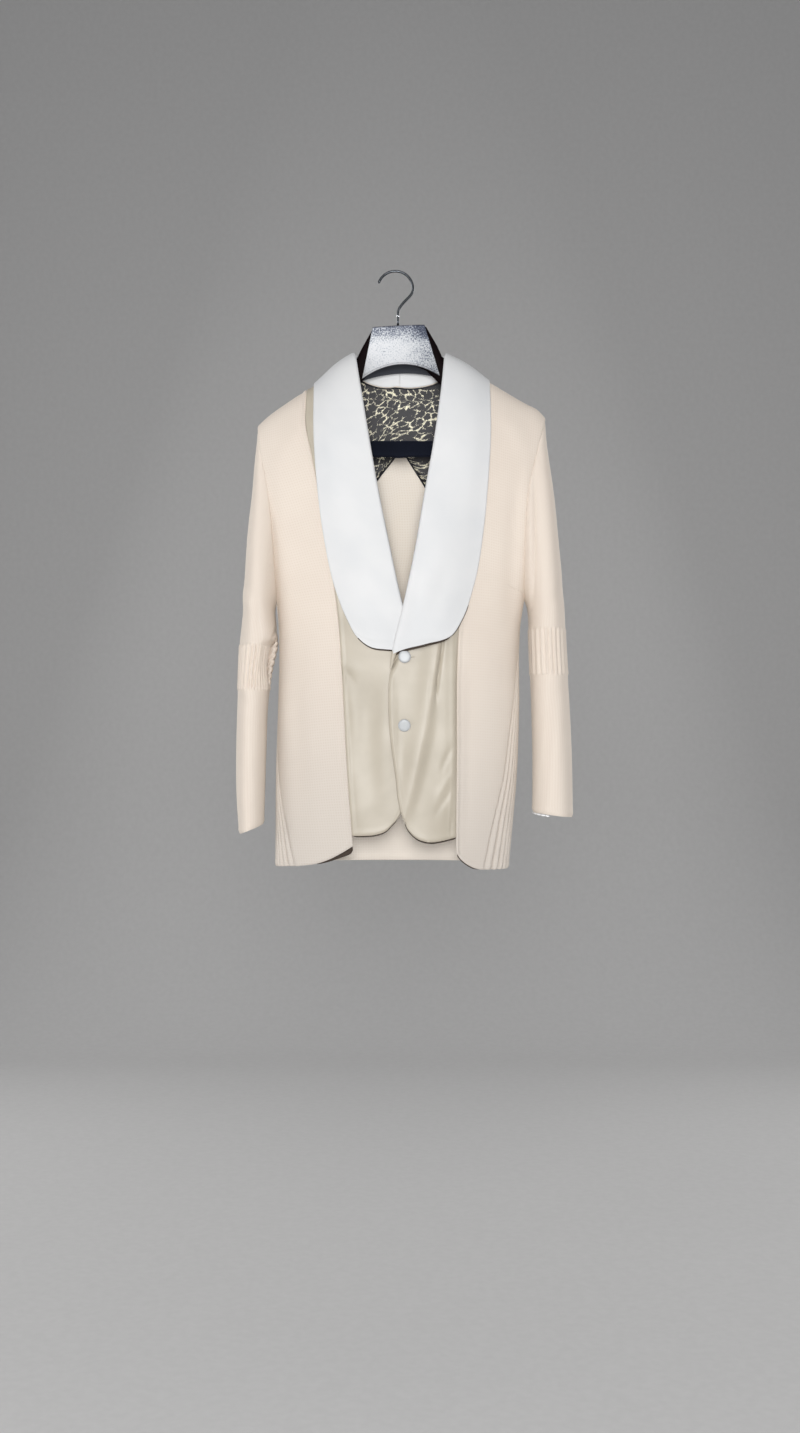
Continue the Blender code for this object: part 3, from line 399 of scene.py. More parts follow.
def fill(tree, node, inputs):
    """A node's sockets set to values, or linked to other nodes' sockets."""
    for name, value in inputs.items():
        socket = node.inputs[name]
        if isinstance(value, bpy.types.NodeSocket):
            tree.links.new(value, socket)
        else:
            socket.default_value = value


def add(tree, kind, settings=None, inputs=None):
    """A node with its settings, and its sockets filled.

    The setting stops is a colour ramp's (place, hex colour) pairs.
    """
    node = tree.nodes.new("ShaderNode" + kind)
    for name, value in (settings or {}).items():
        if name == "stops":
            for place, colour in value[2:]:
                node.color_ramp.elements.new(place)
            for element, (place, colour) in zip(node.color_ramp.elements, value):
                element.position, element.color = place, from_hex(colour)
        else:
            setattr(node, name, value)
    fill(tree, node, inputs or {})
    return node


def material(name):
    """An empty material with its surface shader and node tree."""
    made = bpy.data.materials.new(name)
    made.use_nodes = True
    tree = made.node_tree
    return made, tree, tree.nodes["Principled BSDF"]


WAVE_TURN = 0.31416      # a wave texture's scale is this share of the others'
BIRD_EYE, FIBRE, YARN_DRIFT = 4.0, 1.111, 111.1      # sizes in the knit, in millimetres
# Painted shade: the knit is drawn greyer from the first height down to the second, near the hem
HEM_SHADE_FROM, HEM_SHADE_TO = -0.45, -0.90


def every(millimetres):
    """A texture's scale for a pattern that comes again after this distance."""
    return 1000 / millimetres


def bird_eye_knit(name, light, dark, hem_shade):
    """Fine double knit in ivory viscose: matt, with a small bird's-eye and a soft fibre bloom.

    The real stitch is 1.2 mm wide. The bird's-eye it makes repeats every 4 mm, which is what shows.
    Towards the hem it is a little greyer: painted shade, as the light falls off lower down.
    """
    made, tree, shader = material(name)
    cut = add(tree, "UVMap", {"uv_map": "cut"}).outputs["UV"]
    stitches = []
    for direction in ("X", "Y"):
        band = add(tree, "TexWave", {"wave_type": "BANDS", "bands_direction": direction},
                   {"Vector": cut, "Scale": WAVE_TURN * every(BIRD_EYE), "Distortion": 0.5,
                    "Detail": 1.0, "Detail Scale": 1.5})
        stitches.append(band.outputs["Fac"])
    eyes = add(tree, "Math", {"operation": "MULTIPLY"}, {0: stitches[0], 1: stitches[1]})
    fibre = add(tree, "TexNoise", inputs={"Vector": cut, "Scale": every(FIBRE), "Detail": 4.0,
                                          "Roughness": 0.7})
    drift = add(tree, "TexNoise", inputs={"Vector": cut, "Scale": every(YARN_DRIFT),
                                          "Detail": 3.0, "Roughness": 0.5})
    where = add(tree, "SeparateXYZ", inputs={"Vector": cut})
    lower = add(tree, "MapRange", {"interpolation_type": "SMOOTHSTEP"},
                {"Value": where.outputs["Y"], "From Min": HEM_SHADE_FROM, "From Max": HEM_SHADE_TO})
    tone = add(tree, "ValToRGB", {"stops": ((0.35, light), (0.70, dark))},
               {"Fac": drift.outputs["Fac"]}).outputs["Color"]
    yarn = add(tree, "Mix", {"data_type": "RGBA", "blend_type": "MIX"},
               {"Factor": lower.outputs["Result"], "A": tone, "B": from_hex(hem_shade)})
    shade = add(tree, "ValToRGB", {"stops": ((0.0, "#FFFFFF"), (1.0, "#F8F5F2"))},
                {"Fac": eyes.outputs["Value"]}).outputs["Color"]
    eyed = add(tree, "Mix", {"data_type": "RGBA", "blend_type": "MULTIPLY"},
               {"Factor": 1.0, "A": yarn.outputs["Result"], "B": shade})
    relief = add(tree, "Math", {"operation": "MULTIPLY_ADD"},
                 {0: eyes.outputs["Value"], 1: -1.0, 2: fibre.outputs["Fac"]})
    bump = add(tree, "Bump", inputs={"Height": relief.outputs["Value"], "Strength": 0.12,
                                     "Distance": 0.0006})
    fill(tree, shader, {"Base Color": eyed.outputs["Result"], "Normal": bump.outputs["Normal"],
                        "Roughness": 0.92, "Sheen Weight": 0.25, "Sheen Roughness": 0.45,
                        "Sheen Tint": from_hex("#FFF4E6")})
    return made


ivory_knit = bird_eye_knit("ivory_knit", "#DDD2C6", "#D9CDC1", "#CAC2B9")
# The back's inside takes a lighter copy of the knit: painted light on the shaded inside
inside_knit_painted_light = bird_eye_knit("ivory_knit_inside_painted_light", "#FCF3E7", "#FAF0E2", "#F6EDE2")
BACK_FOLDS = (
    (((-0.150, -0.330), (-0.120, -0.430), (-0.115, -0.560)), 0.022, 0.0028),
    (((0.158, -0.320), (0.128, -0.440), (0.120, -0.590)), 0.022, 0.0026),
    (((-0.080, -0.600), (-0.092, -0.740), (-0.098, -0.870)), 0.024, -0.0030),
    (((0.070, -0.580), (0.084, -0.730), (0.096, -0.875)), 0.026, -0.0028),
    (((0.010, -0.640), (-0.006, -0.760), (-0.010, -0.880)), 0.030, 0.0032),
    (((-0.110, -0.245), (-0.020, -0.262), (0.090, -0.250)), 0.014, 0.0018),
)


def back_points():
    right, left = past_back(side_edge("right", 1)), side_edge("left", 1)
    up = (shares_up(right) + shares_up(left)) / 2
    neck = neck_edge(NECK_COLUMNS, -NECK_LAP)
    neck[0, 1], neck[-1, 1] = shoulder(neck[0, 0]), shoulder(neck[-1, 0])
    along_arm = np.linspace(0, 1, BACK_COLUMNS + 1)
    upper = np.concatenate([
        shoulder_run(-SHOULDER_TIP["right"], neck[0, 0], along_arm)[:-1], neck,
        shoulder_run(neck[-1, 0], SHOULDER_TIP["left"], along_arm)[1:]])
    upper = past_back(on_face(upper, 1))
    upper[0], upper[-1] = right[-1], left[-1]
    across = np.linspace(0, 1, len(upper))
    lower = right[0] + across[:, None] * (left[0] - right[0])
    points = panel(lower, upper, right, left, across, up)
    for edge, gap in (("inner", SEAM_GAP), ("outer", SEAM_GAP), ("upper", SHOULDER_GAP)):
        points = drawn_in(points, edge, gap)
    out = outward(points)
    points = creased(points, out, BACK_FOLDS)
    for edge, profile in (("lower", HEM_ROLL), ("inner", SEAM_ROLL), ("outer", SEAM_ROLL)):
        points = edged(points, out, edge, profile)
    return points


back_grid = back_points()
back_panel = cloth("back_knit", back_grid, KNIT, inside_knit_painted_light, ivory_knit)
back_panel.modifiers["wall"].material_offset = 1     # its inside takes the knit's lighter copy: painted light
placed(back_panel, back_grid, "ivory_knit", "hung", ["hanger_arms"], "back_panel")

# --- Knit fronts --------------------------------------------------------------------------------
# Each front's outer half is the same knit, sewn to the side panel and left as a clean rounded
# corner at the hem. Its inner edge lies over the satin half as a fine raised seam.

FRONT_SEAM = {
    "right": (
        ("height", "out"),
        (-0.860, 0.0645), (-0.743, 0.0735), (-0.678, 0.0770), (-0.602, 0.0810), (-0.512, 0.0875),
        (-0.400, 0.1050), (-0.320, 0.1185), (-0.276, 0.1270), (-0.244, 0.1340), (-0.178, 0.1355),
    ),
    "left": (
        ("height", "out"),
        (-0.870, 0.0870), (-0.730, 0.0880), (-0.598, 0.0885), (-0.525, 0.0920), (-0.400, 0.1090),
        (-0.320, 0.1216), (-0.244, 0.1290), (-0.160, 0.1310),
    ),
}
SEAM_TOP = -0.170        # about the height at which it meets the shoulder line
# Lower edges, as (across, height) from the inner end outwards
KNIT_HEM = {
    "right": ((-0.0648, -0.8555), (-0.0820, -0.8660), (-0.0979, -0.8744), (-0.1129, -0.8802),
              (-0.1461, -0.8860)),
    "left": ((0.0868, -0.8660), (0.0950, -0.8762), (0.1051, -0.8839), (0.1145, -0.8885),
             (0.1260, -0.8910)),
}
OVERLAP = 0.0080         # the left front lies over the right front by this much
OVERLAP_FROM, OVERLAP_TO = 0.135, 0.036      # across this width it rises to that
OVERLAP_TOP, OVERLAP_FULL = -0.200, -0.450   # and over this height down from the neck
KNIT_COLUMNS = 68
RAISED_SEAM = ((0.0, -0.0002), (0.0012, 0.0009), (0.0030, 0.0005), (0.0065, -0.0003), (0.0130, 0.0))
FLARED_HEM = ((0.0, 0.0006), (0.0012, 0.0014), (0.0080, 0.0010), (0.0300, 0.0))
# Each soft ridge or trough: its run of (across, height), half width and height
KNIT_FOLDS = {
    "right": (
        (((-0.176, -0.300), (-0.168, -0.400), (-0.166, -0.520)), 0.016, 0.0026),
        (((-0.186, -0.360), (-0.180, -0.440), (-0.176, -0.560)), 0.006, -0.0022),
        (((-0.118, -0.480), (-0.120, -0.640), (-0.112, -0.820)), 0.026, 0.0030),
        (((-0.150, -0.560), (-0.146, -0.700), (-0.138, -0.860)), 0.015, -0.0022),
        (((-0.128, -0.225), (-0.150, -0.250), (-0.178, -0.300)), 0.014, 0.0014),
    ),
    "left": (
        (((0.192, -0.300), (0.186, -0.400), (0.181, -0.520)), 0.0075, 0.0034),
        (((0.176, -0.320), (0.170, -0.420), (0.166, -0.540)), 0.012, -0.0026),
        (((0.128, -0.460), (0.134, -0.620), (0.128, -0.800)), 0.026, 0.0028),
        (((0.104, -0.600), (0.104, -0.720), (0.100, -0.850)), 0.009, -0.0016),
        (((0.150, -0.215), (0.176, -0.245), (0.190, -0.290)), 0.014, 0.0014),
    ),
}


def overlapped(points):
    """The left front, raised off the right front where it lies over it."""
    rise = eased((OVERLAP_FROM - points[..., 0]) / (OVERLAP_FROM - OVERLAP_TO))
    fall = eased((OVERLAP_TOP - points[..., 2]) / (OVERLAP_TOP - OVERLAP_FULL))
    moved = points.copy()
    moved[..., 1] -= OVERLAP * rise * fall
    return moved


def seam_points(side):
    """(across, height) up the seam between knit and satin, with the knit panel's rows."""
    foot = KNIT_HEM[side][0][1]
    top = float(shoulder(SIGN[side] * spline(FRONT_SEAM[side], "out", SEAM_TOP)))
    z = foot + (top - foot) * shares_up(side_edge(side, -1))
    points = np.stack([SIGN[side] * spline(FRONT_SEAM[side], "out", z), z], axis=-1)
    points[0] = KNIT_HEM[side][0]
    return points


def front_panel(side, lower, upper, inner, outer, across, gap, folds, profiles):
    """Points of a front between its edges, creased, and rolled along each edge by its profile."""
    lower[0], lower[-1], upper[0], upper[-1] = inner[0], outer[0], inner[-1], outer[-1]
    points = panel(lower, upper, inner, outer, across, shares_up(outer))
    if side == "left":
        points = overlapped(points)
    points = drawn_in(drawn_in(points, "outer", gap), "upper", SHOULDER_GAP)
    out = outward(points)
    points = creased(points, out, folds)
    for edge, profile in profiles.items():
        points = edged(points, out, edge, profile)
    return points


def knit_front_points(side):
    seam = seam_points(side)
    across = crowded(KNIT_COLUMNS)
    lower = on_face(run_through(KNIT_HEM[side], across), -1)
    upper = on_face(shoulder_run(seam[-1, 0], SIGN[side] * SHOULDER_TIP[side], across), -1)
    return front_panel(side, lower, upper, on_face(seam, -1), side_edge(side, -1), across, SEAM_GAP,
                       KNIT_FOLDS[side],
                       {"inner": RAISED_SEAM, "outer": SEAM_ROLL, "lower": FLARED_HEM})


shadow_line_edges = {}                # each front's lower edge, and the way out of the panel along it, for the painted shadow lines
for side in SIGN:
    grid = knit_front_points(side)
    shadow_line_edges["knit_" + side] = grid[0], grid[0] - grid[3]
    front = cloth("front_knit_sheet_" + side, grid, KNIT, ivory_knit)
    placed(front, grid, "ivory_knit", "hung", ["hanger_arms", "back_knit"], "front_knit_" + side)

# --- Satin fronts -------------------------------------------------------------------------------
# The inner half of each front is heavy ivory satin with turned hems and a rounded cutaway. It runs
# under the knit's edge at the seam, and up to the shoulder under the lapel.

SATIN_HEM = {"right": -0.8405, "left": -0.8424}      # height of each satin hem at that seam
CUTAWAY = {
    "right": ((0.0000, -0.8165), (-0.0080, -0.8251), (-0.0159, -0.8330), (-0.0320, -0.8389),
              (-0.0460, -0.8402), (-0.0648, -0.8405)),
    "left": ((0.0110, -0.8190), (0.0160, -0.8301), (0.0306, -0.8445), (0.0500, -0.8494),
             (0.0680, -0.8470), (0.0870, -0.8424)),
}
# Front edge above the cutaway, and the lapel's roll line above that, by height
FRONT_EDGE = {
    "right": (
        ("height", "across"),
        (-0.8165, 0.0000), (-0.8059, 0.0064), (-0.7499, 0.0240), (-0.6828, 0.0310),
        (-0.6215, 0.0300), (-0.5690, 0.0264), (-0.4999, 0.0074), (-0.4111, -0.0121),
        (-0.3228, -0.0298), (-0.2630, -0.0401), (-0.1696, -0.0555), (-0.1230, -0.0629),
    ),
    "left": (
        ("height", "across"),
        (-0.8190, 0.0110), (-0.8059, 0.0064), (-0.7499, -0.0021), (-0.6828, -0.0105),
        (-0.6215, -0.0117), (-0.5698, -0.0060), (-0.5050, 0.0093), (-0.4232, 0.0264),
        (-0.3322, 0.0419), (-0.2629, 0.0542), (-0.1734, 0.0667), (-0.1235, 0.0719),
    ),
}
LAPEL_POINT = {"right": -0.5740, "left": -0.5750}    # height of each lapel's lower point
EDGE_INSET, EDGE_RUN = 0.0033, 0.010     # the front's edge lies this far inside the lapel's fold
SATIN_COLUMNS = {"right": 64, "left": 96}
SATIN = 0.0013
TUCK = 0.0034            # the satin runs this far under the knit
TUCKED_SEAM = {
    "right": ((0.0, -0.0024), (0.0034, -0.0019), (0.0050, 0.0004), (0.0068, 0.0009),
              (0.0105, 0.0001), (0.0160, 0.0)),
    "left": ((0.0, -0.0024), (0.0034, -0.0016), (0.0052, 0.0003), (0.0080, 0.0010),
             (0.0120, 0.0006), (0.0180, 0.0), (0.0250, 0.0)),
}
TURNED_EDGE = ((0.0, -0.0008), (0.0016, 0.0002), (0.0045, 0.0006), (0.0090, 0.0001), (0.0120, 0.0))
SATIN_FOLDS = {
    "right": (
        (((-0.084, -0.599), (-0.074, -0.604), (-0.060, -0.616)), 0.0032, -0.0017),
        (((-0.083, -0.590), (-0.072, -0.592), (-0.056, -0.596)), 0.0045, 0.0014),
        (((-0.078, -0.612), (-0.066, -0.640), (-0.058, -0.700)), 0.0100, 0.0012),
        (((-0.040, -0.590), (-0.044, -0.680), (-0.040, -0.790)), 0.0190, -0.0018),
        (((-0.012, -0.600), (-0.018, -0.700), (-0.014, -0.800)), 0.0130, 0.0012),
        (((-0.058, -0.740), (-0.056, -0.790), (-0.050, -0.835)), 0.0140, 0.0012),
    ),
    "left": (
        (((0.0815, -0.530), (0.0808, -0.6000), (0.0805, -0.6700), (0.0800, -0.7400),
          (0.0760, -0.8150)), (0.0230, 0.0048), 0.0048),
        (((0.0632, -0.530), (0.0603, -0.5566), (0.0558, -0.5899), (0.0517, -0.6204),
          (0.0492, -0.6560)), (0.0190, 0.0046), 0.0054),
        (((0.0695, -0.530), (0.0666, -0.5566), (0.0621, -0.5899), (0.0580, -0.6204),
          (0.0560, -0.6440)), 0.0024, -0.0030),
        (((0.0455, -0.6400), (0.0409, -0.6841), (0.0336, -0.7160), (0.0270, -0.7479),
          (0.0191, -0.7797), (0.0100, -0.8140)), (0.0190, 0.0095), 0.0052),
        (((0.0030, -0.570), (-0.0027, -0.5841), (-0.0085, -0.5957), (-0.0105, -0.6050)),
         (0.0020, 0.0034), -0.0062),
        (((-0.0050, -0.610), (-0.0040, -0.6900), (0.0040, -0.7700)), 0.0060, 0.0012),
        (((0.0830, -0.708), (0.0740, -0.7220), (0.0640, -0.7440)), 0.0034, -0.0013),
        (((0.0830, -0.745), (0.0720, -0.7610), (0.0580, -0.7840)), 0.0040, 0.0012),
        (((0.0820, -0.768), (0.0700, -0.7860), (0.0560, -0.8080)), 0.0040, -0.0012),
    ),
}


def front_edge(side, z):
    """World X of the front's own edge: inside the lapel's fold above the lapel's foot."""
    x = spline(FRONT_EDGE[side], "across", z)
    above = np.clip((z - LAPEL_POINT[side]) / EDGE_RUN + 1, 0, 1)
    return x + SIGN[side] * EDGE_INSET * above


def satin_front_points(side):
    seam = seam_points(side)
    outer = on_face(seam, -1)
    start = np.interp(SATIN_HEM[side], seam[:, 1], np.arange(len(seam)))
    rows = start + (len(seam) - 1 - start) * np.linspace(0, 1, len(seam))
    outer = np.stack([np.interp(rows, np.arange(len(seam)), outer[:, k]) for k in (0, 1)], axis=-1)
    across = crowded(SATIN_COLUMNS[side], 0.6)
    lower = on_face(run_through(CUTAWAY[side], across), -1)
    neck, foot = FRONT_EDGE[side][-1][0], CUTAWAY[side][0][1]
    z = foot + (neck - foot) * shares_up(outer)
    x = front_edge(side, z)
    x[0] = CUTAWAY[side][0][0]
    z[-1] = float(shoulder(x[-1]))
    inner = on_face(np.stack([x, z], axis=-1), -1)
    upper = on_face(shoulder_run(x[-1], seam[-1, 0], across), -1)
    return front_panel(side, lower, upper, inner, outer, across, -TUCK, SATIN_FOLDS[side],
                       {"outer": TUCKED_SEAM[side], "inner": TURNED_EDGE, "lower": TURNED_EDGE})


FLOAT, SLUB = 1.0, 71.43                 # sizes in the satin, in millimetres


def heavy_satin(name, face, cooler, roughness, gloss_level):
    """Duchesse satin: long floats over a tight ground, so it is smooth with a broad soft sheen.

    The real threads are 0.15 mm apart. Faint streaks of 1 mm along them are what shows.
    """
    made, tree, shader = material(name)
    cut = add(tree, "UVMap", {"uv_map": "cut"}).outputs["UV"]
    drawn = add(tree, "Mapping", inputs={"Vector": cut, "Scale": (1.0, 0.08, 1.0)})
    floats = add(tree, "TexNoise", inputs={"Vector": drawn.outputs["Vector"],
                                           "Scale": every(FLOAT), "Detail": 3.0, "Roughness": 0.6})
    slub = add(tree, "TexNoise", inputs={"Vector": cut, "Scale": every(SLUB), "Detail": 3.0,
                                         "Roughness": 0.5})
    tone = add(tree, "ValToRGB", {"stops": ((0.35, face), (0.72, cooler))},
               {"Fac": slub.outputs["Fac"]}).outputs["Color"]
    gloss = add(tree, "MapRange", inputs={"Value": slub.outputs["Fac"], "From Min": 0.3,
                                          "From Max": 0.7, "To Min": roughness - 0.04,
                                          "To Max": roughness + 0.05})
    bump = add(tree, "Bump", inputs={"Height": floats.outputs["Fac"], "Strength": 0.12,
                                     "Distance": 0.0003})
    fill(tree, shader, {"Base Color": tone, "Roughness": gloss.outputs["Result"],
                        "Normal": bump.outputs["Normal"], "Sheen Weight": 0.10,
                        "Sheen Roughness": 0.35, "Specular IOR Level": gloss_level})
    return made


ivory_satin = heavy_satin("ivory_satin", "#B8AF9F", "#AEA595", 0.43, 0.56)
for side in SIGN:
    grid = satin_front_points(side)
    shadow_line_edges["satin_" + side] = grid[0], grid[0] - grid[3]
    front = cloth("front_satin_sheet_" + side, grid, SATIN, ivory_satin)
    placed(front, grid, "ivory_satin", "hung", ["hanger_arms", "back_knit"], "front_satin_" + side)

# --- Pleated side panels ------------------------------------------------------------------------
# Under each arm a narrow knit panel widens to the hem in knife-edged knitted-in pleats, which lie
# closed at the waist and fan out downwards.

PLEATS_FROM = -0.545     # the pleats open out from here to the hem
PLEAT_COUNT = 12
PLEAT_COLUMNS = 10       # columns to each pleat
PLEAT_DEPTH = 0.0034     # half the height of a pleat at the hem
PLEAT_CREST, PLEAT_LEVEL = 0.65, 1.25    # how round its crest is, and how far its foot is lowered
SIDE_KNIT = 0.0016
SIDE_SAG = 0.0030        # how much lower its hem hangs in the middle
SIDE_CLEAR = 0.20        # it stops this many degrees short of each neighbour


def side_points(side):
    front = side_edge(side, -1)[:ROWS_BELOW + 1]
    rear = side_edge(side, 1)[:ROWS_BELOW + 1]
    front[:, 0] += SIGN[side] * SIDE_CLEAR
    rear[:, 0] -= SIGN[side] * SIDE_CLEAR
    across = np.linspace(0, 1, PLEAT_COUNT * PLEAT_COLUMNS + 1)
    lower = front[0] + across[:, None] * (rear[0] - front[0])
    lower[:, 1] -= SIDE_SAG * np.sin(math.pi * across)
    upper = front[-1] + across[:, None] * (rear[-1] - front[-1])
    grid = patch(lower, upper, front, rear, across, shares_up(front))
    points = body_surface(grid[..., 0], grid[..., 1])
    out = outward(points)
    out *= SIGN[side] * np.sign(out[10, len(across) // 2, 0])
    fade = np.sqrt(np.clip((PLEATS_FROM - points[..., 2]) / (PLEATS_FROM - BACK_HEM), 0, 1))
    ridge = 2 * np.abs(np.sin(math.pi * PLEAT_COUNT * across)) ** PLEAT_CREST - PLEAT_LEVEL
    ends = np.clip(np.minimum(across, 1 - across) * PLEAT_COUNT, 0, 1)
    points = points + out * (PLEAT_DEPTH * fade * ridge * ends)[..., None]
    return edged(points, out, "lower", HEM_ROLL)


for side in SIGN:
    grid = side_points(side)
    panel_side = cloth("side_pleats_sheet_" + side, grid, SIDE_KNIT, ivory_knit)
    placed(panel_side, grid, "ivory_knit", "hung", ["back_knit"], "side_pleats_" + side)

# --- Sleeves ------------------------------------------------------------------------------------
# Each sleeve is a tube of the same knit, set into the armhole with its edge under the body's. A
# band of raised ribs knitted round the elbow lets it bend, and the cuff is left plain.

# Outer and inner edge of each, half depth, and how far back the middle lies, by height
SLEEVE = (
    ("height", "right_outer", "right_inner", "left_outer", "left_inner", "half_depth", "middle"),
    (-0.222, 0.2095, 0.1900, 0.2235, 0.2000, 0.0160, 0.0000),
    (-0.250, 0.2105, 0.1860, 0.2245, 0.1970, 0.0340, 0.0000),
    (-0.290, 0.2135, 0.1820, 0.2285, 0.1930, 0.0470, 0.0000),
    (-0.340, 0.2165, 0.1790, 0.2342, 0.1900, 0.0550, 0.0020),
    (-0.400, 0.2215, 0.1790, 0.2400, 0.1900, 0.0595, 0.0030),
    (-0.460, 0.2255, 0.1820, 0.2462, 0.1930, 0.0610, 0.0040),
    (-0.500, 0.2278, 0.1845, 0.2495, 0.1975, 0.0600, 0.0040),
    (-0.560, 0.2345, 0.1805, 0.2522, 0.1995, 0.0560, 0.0030),
    (-0.600, 0.2362, 0.1885, 0.2545, 0.2008, 0.0530, 0.0010),
    (-0.640, 0.2372, 0.1935, 0.2565, 0.2020, 0.0500, -0.0020),
    (-0.720, 0.2384, 0.1965, 0.2595, 0.2035, 0.0480, -0.0100),
    (-0.780, 0.2375, 0.1980, 0.2602, 0.2030, 0.0465, -0.0160),
    (-0.840, 0.2331, 0.1995, 0.2604, 0.2018, 0.0450, -0.0220),
)
CUFF = {"right": (-0.8393, -0.8258), "left": (-0.8145, -0.8070)}   # height of cuff: outer, inner
LEVEL, LEVEL_ROW, BLEND_ROW = -0.530, 0.50, 0.30     # the rings turn level by this height and row
SLEEVE_SQUARENESS = 2.2
# Rows down each, with their share of the way down: they lie closer together at the elbow
ROWS_AT, ROW_SHARES = (0, 54, 124, 160), (0.0, 0.49, 0.68, 1.0)
RIB_COLUMNS = 7          # columns to each rib
RIB_SIDE = {"right": 0.60, "left": 0.35}     # round its sides the ribs stand further apart by this
HEAD_TUCK, HEAD_DEPTH = 0.0040, 0.0040   # the sleeve's edge goes this far in and under the body's
HEAD_TIP, TIP_WIDE = 0.65, 0.25          # at the shoulder's tip it does so by this share less
HEAD_FALL, HEAD_POWER = 0.010, 1.5       # how far down it comes out again, and how soon
TURN_STEPS = 720         # steps round the elbow that the ribs are spaced by
BACK_CREASES = 0.5       # the creases are this deep on the sleeve's back half
# Elbow ribs: heights of the band's top and foot, how many go round, and half their height
RIBS = {"right": (-0.5575, -0.6285, 35, 0.00160), "left": (-0.5335, -0.6060, 22, 0.00140)}
RIB_FADE, RIB_DRAW = 0.005, 0.012        # the ribs rise over the first, and draw in over the second
RIB_PULL = 0.014                         # and draw the sleeve in by this share
RIB_CREST, RIB_LEVEL = 0.55, 0.7         # how round each crest is, and how far its foot is lowered
# Where the right sleeve's elbow bends, its front half ends in a lip at these distances out, and the
# back half shows beyond it in a deep crease, with its ribs fanned out at a slant
ELBOW_LIP = (
    ("height", "out"),
    (-0.5420, 0.1790), (-0.5526, 0.1822), (-0.5571, 0.1859), (-0.5630, 0.1904), (-0.5719, 0.1922),
    (-0.5852, 0.1945), (-0.6000, 0.1946), (-0.6119, 0.1938), (-0.6223, 0.1930), (-0.6400, 0.1925),
)
LIP_AHEAD, LIP_OVER = -0.0010, 0.0100    # the lip is drawn in ahead of this depth, over this
LIP_FOOT, LIP_OPEN = 0.0080, 0.0035      # it eases off over this at its foot, and gapes past this
LIP_TURN, LIP_RISE = 0.1, 1.5            # how far round the inner side it starts, and how steeply
ELBOW_CREASE, CREASE_AT, CREASE_HALF = 0.0085, -0.0085, 0.0025   # crease: depth, place, half width
FAN_FROM, FAN_OVER, FAN_TO = -0.0105, 0.0030, 0.0300     # depths between which the fan lies
FAN_PITCH, FAN_SLANT, FAN_HALF = 0.0056, (1.0, -1.0), 0.0013
FAN_CREST, FAN_LEVEL = 0.9, 0.6          # how round its crests are, and how far they are lowered
SLEEVE_FOLDS = {
    "right": (
        (((-0.2060, -0.492), (-0.2045, -0.520), (-0.2030, -0.552)), 0.0060, -0.0022),
        (((-0.2170, -0.340), (-0.2180, -0.430), (-0.2200, -0.530)), 0.0120, 0.0018),
        (((-0.2300, -0.470), (-0.2170, -0.500), (-0.2030, -0.516)), 0.0085, 0.0022),
        (((-0.2280, -0.640), (-0.2160, -0.655), (-0.2020, -0.664)), 0.0080, -0.0016),
        (((-0.2180, -0.670), (-0.2200, -0.740), (-0.2170, -0.810)), 0.0110, 0.0016),
        (((-0.1800, -0.515), (-0.1818, -0.5400), (-0.1862, -0.5530), (-0.1915, -0.5620)),
         0.0018, -0.0026),
    ),
    "left": (
        (((0.2230, -0.300), (0.2250, -0.400), (0.2280, -0.500)), 0.0130, 0.0018),
        (((0.1990, -0.300), (0.1995, -0.400), (0.1992, -0.505)), (0.0090, 0.0022), 0.0046),
        (((0.2022, -0.310), (0.2026, -0.410), (0.2022, -0.490)), 0.0024, -0.0016),
        (((0.2460, -0.465), (0.2360, -0.490), (0.2160, -0.506)), 0.0100, -0.0012),
        (((0.2520, -0.620), (0.2360, -0.634), (0.2100, -0.640)), 0.0090, -0.0009),
        (((0.2320, -0.640), (0.2350, -0.710), (0.2320, -0.790)), 0.0120, 0.0018),
    ),
}


def sleeve_ring(side, turn, z):
    """Points round a sleeve at turn from its outer edge over the front, at height z."""
    turn, z = np.broadcast_arrays(turn, z)
    outer, inner = spline(SLEEVE, side + "_outer", z), spline(SLEEVE, side + "_inner", z)
    cosine, sine = np.cos(turn), np.sin(turn)
    reach = (np.abs(cosine) ** SLEEVE_SQUARENESS + np.abs(sine) ** SLEEVE_SQUARENESS)
    reach = reach ** (-1 / SLEEVE_SQUARENESS)
    x = (outer + inner) / 2 + (outer - inner) / 2 * cosine * reach
    y = spline(SLEEVE, "middle", z) - spline(SLEEVE, "half_depth", z) * sine * reach
    return np.stack([SIGN[side] * x, y, z], axis=-1)


